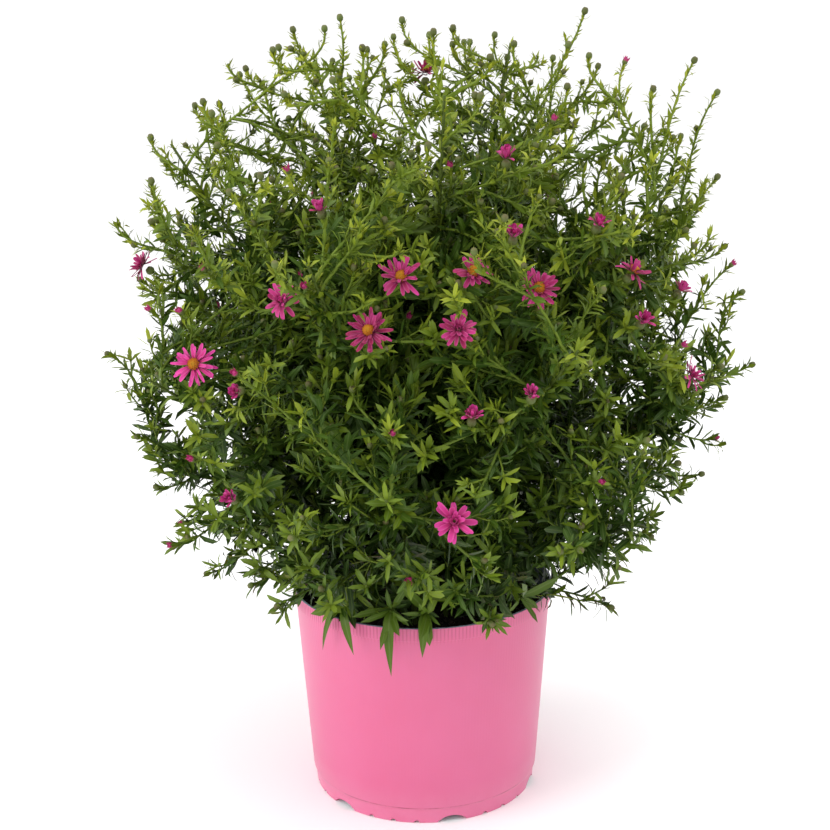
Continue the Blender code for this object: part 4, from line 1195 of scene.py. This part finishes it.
def dress_stem(number):
    """One stem with its shoots, twigs, leaves and buds, as one heap."""
    draw = np.random.default_rng(SEED + number)
    heap = Heap()
    foliage = Foliage(draw)
    mine = [stems[number]] + [shoot for shoot in shoots + risers if shoot.stem == number]
    for order, stalk in enumerate(mine):
        rank = min(order, 1)
        points = curve(*stalk.bends, STALK_STEPS[rank])
        radii = tapered(stalk.girth, STALK_STEPS[rank])
        if rank == 0:
            points = [stalk.points[0]] + points
            radii = [radii[0]] + radii
        top = height_share(points[-1][2])
        start, higher = STALK_YOUTH[rank]
        heap.add(*stalk_skin(points, radii, STALK_SIDES[rank]), STALK, start + higher * top, draw.random())
        foliage.line(points, rank, 1 - TOP_CROWDING * top)
        add_twigs(heap, foliage, points, rank, draw)
        end_stalk(heap, foliage, stalk, draw)
    foliage.lay(heap)
    for order, bend, tip, width in RIM_LEAVES:
        if shoots[order].stem == number:
            hang_leaf(heap, shoots[order], bend, tip, width)
    return heap


def add_twigs(heap, foliage, points, rank, draw):
    """Leafy twigs in the axils along a stalk, each with a bud or a tuft at its end."""
    thinning = 1 + TWIG_THINNING * height_share(points[-1][2])
    places, along, shares = walk(points, *TWIG_RUN, TWIG_SPACING[rank] * thinning, draw)
    if not len(places):
        return
    out = around(along, GOLDEN * np.arange(len(places)) * TWIG_TURN + draw.uniform(0, ANY_TURN))
    short, long = TWIG_LENGTH
    for foot, way, side, share in zip(places, along, out, shares):
        rise = height_share(foot[2])
        length = short + (long - short) * (1 - share) * draw.uniform(*TWIG_LENGTHS)
        length *= 1 - TWIG_SHORTENING * rise
        route, ending = twig_route(foot, way, side, length, draw)
        if not has_room(route[None, 1:]).all() or depth_of(route[-1:])[0] < TWIG_OVERHANG:
            continue
        heap.add(*stalk_skin(route, np.linspace(*TWIG_RADII, len(route)), STALK_SIDES[2]), STALK,
                 STALK_YOUTH[2][0], draw.random())
        foliage.line(route, 2)
        if draw.random() < TWIG_BUDS[0] + TWIG_BUDS[1] * rise:
            size = draw.uniform(*TWIG_BUD_SIZE)
            globe = upright(bud, route[-1], ending, size, size)
            if has_room(globe[None])[0]:
                heap.add(globe, bud_tris, SCALE, BUD_YOUTH[0], draw.random(), bud[:, 2])
        foliage.tuft(route[-1], ending, LEAF_SIZE[2], TUFT_YOUTH[0])


def end_stalk(heap, foliage, stalk, draw):
    """The bud, green cup or tuft of leaves at the end of a stem or a shoot."""
    facing, tip = np.array(stalk.facing), np.array(stalk.bends[3])
    if stalk.ending == "bloom":
        cup = upright(bud, tip, facing, *CUP_SIZE)
        heap.add(cup, bud_tris, SCALE, BUD_YOUTH[1], draw.random(), bud[:, 2])
        return
    if stalk.ending == "bud":
        ripe = (draw.random() < RIPE_BUDS * (1 - height_share(tip[2]))
                or min((stalk.bends[3] - millimetres(place)).length for place in FRONT_BUDS) < NEAR)
        globe = upright(bud, tip, facing, RIPE_WIDTH if ripe else BUD_SIZE[0], BUD_SIZE[1])
        heap.add(globe, bud_tris, SCALE, 1.0 if ripe else BUD_YOUTH[1], draw.random(), bud[:, 2])
        if ripe:
            open_bud(heap, tip, facing, draw)
    size = LEAF_SIZE[0 if stalk.ending == "rim" else 2]
    foliage.tuft(tip - facing * TUFT_SINK, facing, size, TUFT_YOUTH[1])


def open_bud(heap, foot, facing, draw):
    """The coloured petal tips that show at the top of a ripe bud."""
    ways = np.repeat(facing[None], TIPS, axis=0)
    out = around(ways, GOLDEN * np.arange(TIPS))
    spread = draw.uniform(*TIP_SPREAD, TIPS)[:, None]
    length = draw.uniform(*TIP_LENGTH, TIPS)
    shape, tris = leaflet
    blades = lay_blades(shape, foot + facing * TIP_FOOT[0] + out * TIP_FOOT[1],
                        ways * np.cos(spread) + out * np.sin(spread),
                        ways * np.sin(spread) - out * np.cos(spread),
                        length, length * TIP_WIDTH, draw.normal(*TIP_CURL, TIPS))
    blades = blades[has_room(blades)]
    if len(blades):
        heap.add(blades, tris, SCALE, 1.0, draw.random((len(blades), 1)), 1.0)


def hang_leaf(heap, shoot, bend, tip, width):
    """A leaf that leaves the end of a shoot, bends over the rim and hangs down the wall."""
    end = np.array(shoot.points[-1])
    back = np.array(shoot.points[-2]) - end
    foot = end + back / np.linalg.norm(back) * RIM_LEAF_SINK
    bend, tip = np.array(bend) / 1000, np.array(tip) / 1000
    shape, tris = rim_leaf
    along = shape[:, 1:2]
    line = foot * (1 - along) ** 2 + bend * 2 * (1 - along) * along + tip * along ** 2
    ahead = (bend - foot) * (1 - along) + (tip - bend) * along
    ahead /= np.linalg.norm(ahead, axis=1)[:, None]
    out = (bend - np.array((0, 0, bend[2]))) / math.hypot(bend[0], bend[1])
    side = np.cross(ahead, out + np.array((0, 0, RIM_LEAF_TILT)))
    side /= np.linalg.norm(side, axis=1)[:, None]
    verts = line + (side * shape[:, :1] + np.cross(side, ahead) * shape[:, 2:]) * width / 1000
    heap.add(verts, tris, LEAF, RIM_LEAF_YOUTH, 0.5, 2 * np.abs(shape[:, 0]))


def leaf_green():
    """Living leaves: deep green and faintly waxy, yellow green when young, with a pale midrib; their youth
    mark also carries painted shade deep inside and low in the bush, and painted light high on it.
    """
    material, tree, shader = material_of("aster leaf", {
        "Roughness": 0.42, "IOR": 1.42, "Specular IOR Level": 0.25})
    youth, tone, edge = (node(tree, "Attribute", {}, {"attribute_name": mark}, out="Fac") for mark in MARKS)
    age = node(tree, "ValToRGB", {"Fac": youth}, stops=[
        (0.0, "#253A10"), (0.35, "#3F5A18"), (0.7, "#70821F"), (1.0, "#98A028")])
    cool = node(tree, "Mix", {"Factor": tone, "A": age, "B": "#D2DCC0"},
                {"data_type": "RGBA", "blend_type": "MULTIPLY"}, out="Result")
    rib = node(tree, "MapRange", {"Value": edge, "From Min": 0.22, "From Max": 0.0, "To Max": 0.35})
    ribbed = node(tree, "Mix", {"Factor": rib, "A": cool, "B": "#6F8048"},
                  {"data_type": "RGBA"}, out="Result")
    tree.links.new(ribbed, shader.inputs["Base Color"])
    return material


def stalk_green():
    """Soft stalks: yellow green, finely hairy, darker where they are old."""
    material, tree, shader = material_of("aster stalk", {
        "Roughness": 0.6, "IOR": 1.42, "Specular IOR Level": 0.3})
    youth = node(tree, "Attribute", {}, {"attribute_name": "youth"}, out="Fac")
    age = node(tree, "ValToRGB", {"Fac": youth}, stops=[(0.0, "#37381A"), (0.4, "#4C601C"), (0.8, "#6F8226")])
    tree.links.new(age, shader.inputs["Base Color"])
    return material


def bud_green():
    """Bud scales: dull green, a little purple at their tops; magenta petals show in ripe ones."""
    material, tree, shader = material_of("aster bud scales", {"Roughness": 0.6, "IOR": 1.42})
    youth, tone, top = (node(tree, "Attribute", {}, {"attribute_name": mark}, out="Fac") for mark in MARKS)
    green = node(tree, "ValToRGB", {"Fac": top}, stops=[(0.2, "#5C6C2A"), (0.7, "#55632C"), (1.0, "#66643A")])
    dull = node(tree, "Mix", {"Factor": tone, "A": green, "B": "#D8C8C0"},
                {"data_type": "RGBA", "blend_type": "MULTIPLY"}, out="Result")
    ripe = node(tree, "MapRange", {"Value": youth, "From Min": 0.8})
    tip = node(tree, "MapRange", {"Value": top, "From Min": 0.55, "From Max": 0.85})
    open_tip = node(tree, "Math", {0: ripe, 1: tip}, {"operation": "MULTIPLY"})
    tipped = node(tree, "Mix", {"Factor": open_tip, "A": dull, "B": "#A82A68"},
                  {"data_type": "RGBA"}, out="Result")
    tree.links.new(tipped, shader.inputs["Base Color"])
    return material


leaf = blade_shape(LEAF_ROWS, LEAF_FOLD)
leaflet = blade_shape(LEAFLET_ROWS, LEAF_FOLD)
rim_leaf = blade_shape(RIM_LEAF_ROWS, LEAF_FOLD)
bud, bud_tris = bud_shape()
greens = [stalk_green(), leaf_green(), bud_green()]
for number in range(STEMS):
    stem = dress_stem(number).piece(f"leafy_stem_{number + 1:02d}", greens)
    stand_in(stem, f"stem_{number + 1:02d}")


# The blooms: each a ring of soft strap petals in two or three layers round a centre, magenta pink
# with deeper feet. Some centres are yellow discs of tiny florets, others a tuft of young petals.
DISC_BLOOMS = (0, 2, 3, 4, 6, 8, 10, 11, 13, 15)
PETAL_ROWS = [(0.0, 0.45), (0.2, 0.7), (0.45, 0.95), (0.7, 1.0), (0.88, 0.85), (1.0, 0.45)]
PETAL_FOLD = 0.16
# Each layer: how many petals, how steeply they rise, their length and the radius of their feet
DAISY = [(14, 0.06, 1.0, 0.0020), (13, 0.26, 0.94, 0.0018), (8, 0.52, 0.74, 0.0016)]
STAR = [(8, 0.08, 1.0, 0.0014), (6, 0.36, 0.92, 0.0014), (4, 0.9, 0.6, 0.0010)]
DENSE = [(15, 0.08, 1.0, 0.0018), (14, 0.34, 0.90, 0.0016), (12, 0.68, 0.74, 0.0014)]
LOOSE = [(9, 0.14, 1.0, 0.0016), (9, 0.48, 0.88, 0.0014), (8, 0.95, 0.66, 0.0012)]
TUFT = [(8, 1.0, 0.42, 0.0010), (5, 1.3, 0.34, 0.0005)]
CLOSED = [(9, 1.08, 1.0, 0.0016), (8, 1.20, 0.9, 0.0010), (4, 1.35, 0.75, 0.0005)]
# Each open bloom: its layers, how wide its petals are and how bright, which is partly its own tone and partly
# painted shade where it sits in the bush's shade; then the closed ones
OPEN_LOOKS = [
    (DAISY, 0.0022, 0.90), (STAR, 0.0033, 0.80), (DENSE, 0.0024, 0.32), (LOOSE, 0.0025, 0.35),
    (LOOSE, 0.0025, 0.25), (LOOSE, 0.0025, 0.30), (DENSE, 0.0023, 0.08), (LOOSE, 0.0026, 0.45),
    (LOOSE, 0.0024, 0.30), (LOOSE, 0.0024, 0.50), (DAISY, 0.0022, 0.55), (DENSE, 0.0024, 0.35),
    (LOOSE, 0.0026, 0.45), (DAISY, 0.0022, 0.45), (DENSE, 0.0024, 0.30), (LOOSE, 0.0026, 0.40),
]
CLOSED_LOOK = (CLOSED, 0.0024, 0.60)
CLOSED_SINK = 0.001
CLOSED_REACH = 0.8
BLOOM_SEED = 100
# How far petals vary: turn, lift and tone; length, width and curl. Then the height of the layers'
# feet, and the width of their petals by their length
TURN_LOOSE, LIFT_LOOSE, TONE_LOOSE = 0.11, 0.20, 0.16
PETAL_LENGTHS, PETAL_WIDTHS, PETAL_CURL = (0.70, 1.0), (0.75, 1.15), (0.15, 0.50)
LAYER_HEIGHTS = (0.0004, 0.0005)
LAYER_WIDTHS = (0.6, 0.4)
# Deep and bright petals, from the foot to the tip; the deep ones also serve as the painted shade of blooms in
# shade
PETAL_COLOURS = (("#48041F", "#7A0A3A", "#98144E"), ("#740A3C", "#BC1A72", "#D23A98"))
DISC_RADIUS = 0.0029
DISC_FLORETS = 46
DISC_HEIGHT = (0.0014, 0.0016)
DISC_LEAN = 90
FLORET_SIZE = (0.0011, 0.0016)
# A floret's sides, its foot's and mouth's radius, from where it is its mouth, and the hollow there
FLORET_SIDES, FLORET_RADII = 5, (0.30, 0.5)
FLORET_MOUTH, FLORET_HOLLOW = 0.9, (0.2, -0.25)


def floret_shape():
    """One tiny floret: a five sided tube that flares at its mouth."""
    bpy.ops.object.select_all(action="DESELECT")
    bpy.ops.mesh.primitive_cone_add(vertices=FLORET_SIDES, radius1=FLORET_RADII[0],
                                    radius2=FLORET_RADII[1], depth=1, location=(0, 0, 0.5))
    tube = bpy.context.object
    bpy.ops.object.transform_apply(location=True, rotation=False, scale=False)
    bpy.ops.object.mode_set(mode="EDIT")
    pick(lambda place: place.z > FLORET_MOUTH)
    bpy.ops.mesh.inset(thickness=FLORET_HOLLOW[0], depth=FLORET_HOLLOW[1])
    bpy.ops.object.mode_set(mode="OBJECT")
    return template(tube)


def lay_petals(heap, place, facing, reach_out, layers, wide, tone_and_shade, draw):
    """The petals of one bloom, layer on layer, no two alike."""
    turn = np.array(facing.to_track_quat("Z", "Y").to_matrix())
    top = np.array((0, 0, 1.0))
    for level, (count, lift, share, foot_radius) in enumerate(layers):
        turns = 2 * math.pi * (np.arange(count) + 0.5 * level) / count + draw.normal(0, TURN_LOOSE, count)
        lifts = lift + draw.normal(0, LIFT_LOOSE, count)
        out = np.stack((np.cos(turns), np.sin(turns), np.zeros(count)), axis=1)
        heading = out * np.cos(lifts)[:, None] + top * np.sin(lifts)[:, None]
        normal = top * np.cos(lifts)[:, None] - out * np.sin(lifts)[:, None]
        foot = out * foot_radius + top * (LAYER_HEIGHTS[0] + LAYER_HEIGHTS[1] * level)
        length = (reach_out * share - foot_radius) * draw.uniform(*PETAL_LENGTHS, count)
        width = wide * draw.uniform(*PETAL_WIDTHS, count) * (LAYER_WIDTHS[0] + LAYER_WIDTHS[1] * share)
        curl = draw.normal(*PETAL_CURL, count)
        verts = lay_blades(petal, foot, heading, normal, length, width, curl) @ turn.T + np.array(place)
        # The bloom's tone, partly painted shade, sets each petal between deep and bright.
        tone = np.clip(tone_and_shade + draw.normal(0, TONE_LOOSE, count), 0, 1)[:, None]
        heap.add(verts, petal_tris, 0, petal[:, 1], tone, np.abs(petal[:, 0]) * 2)


def set_florets(heap, place, facing):
    """The florets of a disc, in the turns of a sunflower's seeds over a low dome."""
    turn = facing.to_track_quat("Z", "Y")
    for i in range(DISC_FLORETS):
        share = math.sqrt((i + 0.5) / DISC_FLORETS)
        across = DISC_RADIUS * share
        spot = Vector((across * math.cos(i * GOLDEN), across * math.sin(i * GOLDEN),
                       DISC_HEIGHT[0] + DISC_HEIGHT[1] * (1 - share ** 2)))
        lean = Vector((spot.x * DISC_LEAN, spot.y * DISC_LEAN, 1)).normalized()
        heap.add(upright(floret, place + turn @ spot, turn @ lean, *FLORET_SIZE), floret_tris, 0, 1 - share)


def petal_magenta():
    """Soft petals: magenta, deep at the foot and pale along the edges, with a velvety sheen; blooms in shade
    are painted deeper through their tone.
    """
    material, tree, shader = material_of("aster petal", {
        "Roughness": 0.55, "IOR": 1.4, "Sheen Weight": 0.1,
        "Subsurface Weight": 0.1, "Subsurface Scale": 0.001})
    along, tone, edge = (node(tree, "Attribute", {}, {"attribute_name": mark}, out="Fac") for mark in MARKS)
    deep, bright = (node(tree, "ValToRGB", {"Fac": along}, stops=list(zip((0.0, 0.35, 1.0), colours)))
                    for colours in PETAL_COLOURS)
    body = node(tree, "Mix", {"Factor": tone, "A": deep, "B": bright}, {"data_type": "RGBA"}, out="Result")
    rim = node(tree, "MapRange", {"Value": edge, "From Min": 0.5, "To Max": 0.35})
    edged = node(tree, "Mix", {"Factor": rim, "A": body, "B": "#E070AC"}, {"data_type": "RGBA"}, out="Result")
    tree.links.new(edged, shader.inputs["Base Color"])
    return material


def disc_yellow():
    """The florets: matt yellow, orange where they are older at the rim."""
    material, tree, shader = material_of("aster disc florets", {"Roughness": 0.7, "IOR": 1.4})
    youth = node(tree, "Attribute", {}, {"attribute_name": "youth"}, out="Fac")
    age = node(tree, "ValToRGB", {"Fac": youth}, stops=[(0.0, "#A85410"), (0.5, "#C67F12"), (1.0, "#BE9020")])
    tree.links.new(age, shader.inputs["Base Color"])
    return material


petal, petal_tris = blade_shape(PETAL_ROWS, PETAL_FOLD)
floret, floret_tris = floret_shape()
petal_finish, floret_finish = petal_magenta(), disc_yellow()
for number, (name, place, facing, width) in enumerate(blooms):
    draw = np.random.default_rng(SEED + BLOOM_SEED + number)
    heap = Heap()
    if name.startswith("open"):
        lay_petals(heap, place, facing, width / 2, *OPEN_LOOKS[number], draw)
        if number not in DISC_BLOOMS:
            lay_petals(heap, place, facing, width / 2, TUFT, *OPEN_LOOKS[number][1:], draw)
    else:
        lay_petals(heap, place - facing * CLOSED_SINK, facing, width * CLOSED_REACH, *CLOSED_LOOK, draw)
    stand_in(heap.piece(f"petals_of_{name}", [petal_finish]), f"petals_{name}")
    if number in DISC_BLOOMS:
        heap = Heap()
        set_florets(heap, place, facing)
        disc = heap.piece(f"yellow_disc_{number + 1:02d}", [floret_finish])
        stand_in(disc, f"disc_{number + 1:02d}")


# The floor is a plain pale studio sheet, lit by large soft boxes; the camera stands where the
# photograph was taken from.
FLOOR_SIZE = 80
SKY_STRENGTH = 1.06
# Each soft box: its place, what it faces, its size and its power
SOFT_BOXES = {
    "key_left": ((-1.9, -0.9, 1.2), (0, 0, 0.25), 1.5, 26),
    "top": ((0.6, -0.5, 1.9), (0, 0, 0.3), 1.4, 14),
}
CAMERA_PLACE = (-0.0035, -0.963, 0.506)
CAMERA_PITCH = math.radians(14.9)
CAMERA_ROLL = math.radians(-0.76)
CAMERA_LENS = 67.4
CAMERA_SENSOR = 36
CAMERA_NEAR = 0.01

bpy.ops.object.select_all(action="DESELECT")
bpy.ops.mesh.primitive_plane_add(size=FLOOR_SIZE, location=(0, 0, 0))
floor = bpy.context.object
floor.name = "studio_floor"
paper, tree, shader = material_of("white studio paper", {
    "Base Color": linear("#FEFEFE"), "Roughness": 0.9, "IOR": 1.4})
floor.data.materials.append(paper)

for name, (place, target, size, power) in SOFT_BOXES.items():
    bpy.ops.object.light_add(type="AREA", location=place)
    lamp = bpy.context.object
    lamp.name = name
    lamp.data.shape = "SQUARE"
    lamp.data.size = size
    lamp.data.energy = power
    lamp.rotation_euler = (Vector(target) - Vector(place)).to_track_quat("-Z", "Y").to_euler()
world = bpy.data.worlds.new("studio")
bpy.context.scene.world = world
world.use_nodes = True
world.node_tree.nodes["Background"].inputs["Color"].default_value = (1, 1, 1, 1)
world.node_tree.nodes["Background"].inputs["Strength"].default_value = SKY_STRENGTH

bpy.ops.object.camera_add(location=CAMERA_PLACE)
camera = bpy.context.object
camera.rotation_euler = (Matrix.Rotation(math.pi / 2 - CAMERA_PITCH, 3, "X")
                         @ Matrix.Rotation(CAMERA_ROLL, 3, "Z")).to_euler()
camera.data.lens = CAMERA_LENS
camera.data.sensor_width = CAMERA_SENSOR
camera.data.clip_start = CAMERA_NEAR
bpy.context.scene.camera = camera
bpy.context.scene.view_settings.view_transform = "Standard"
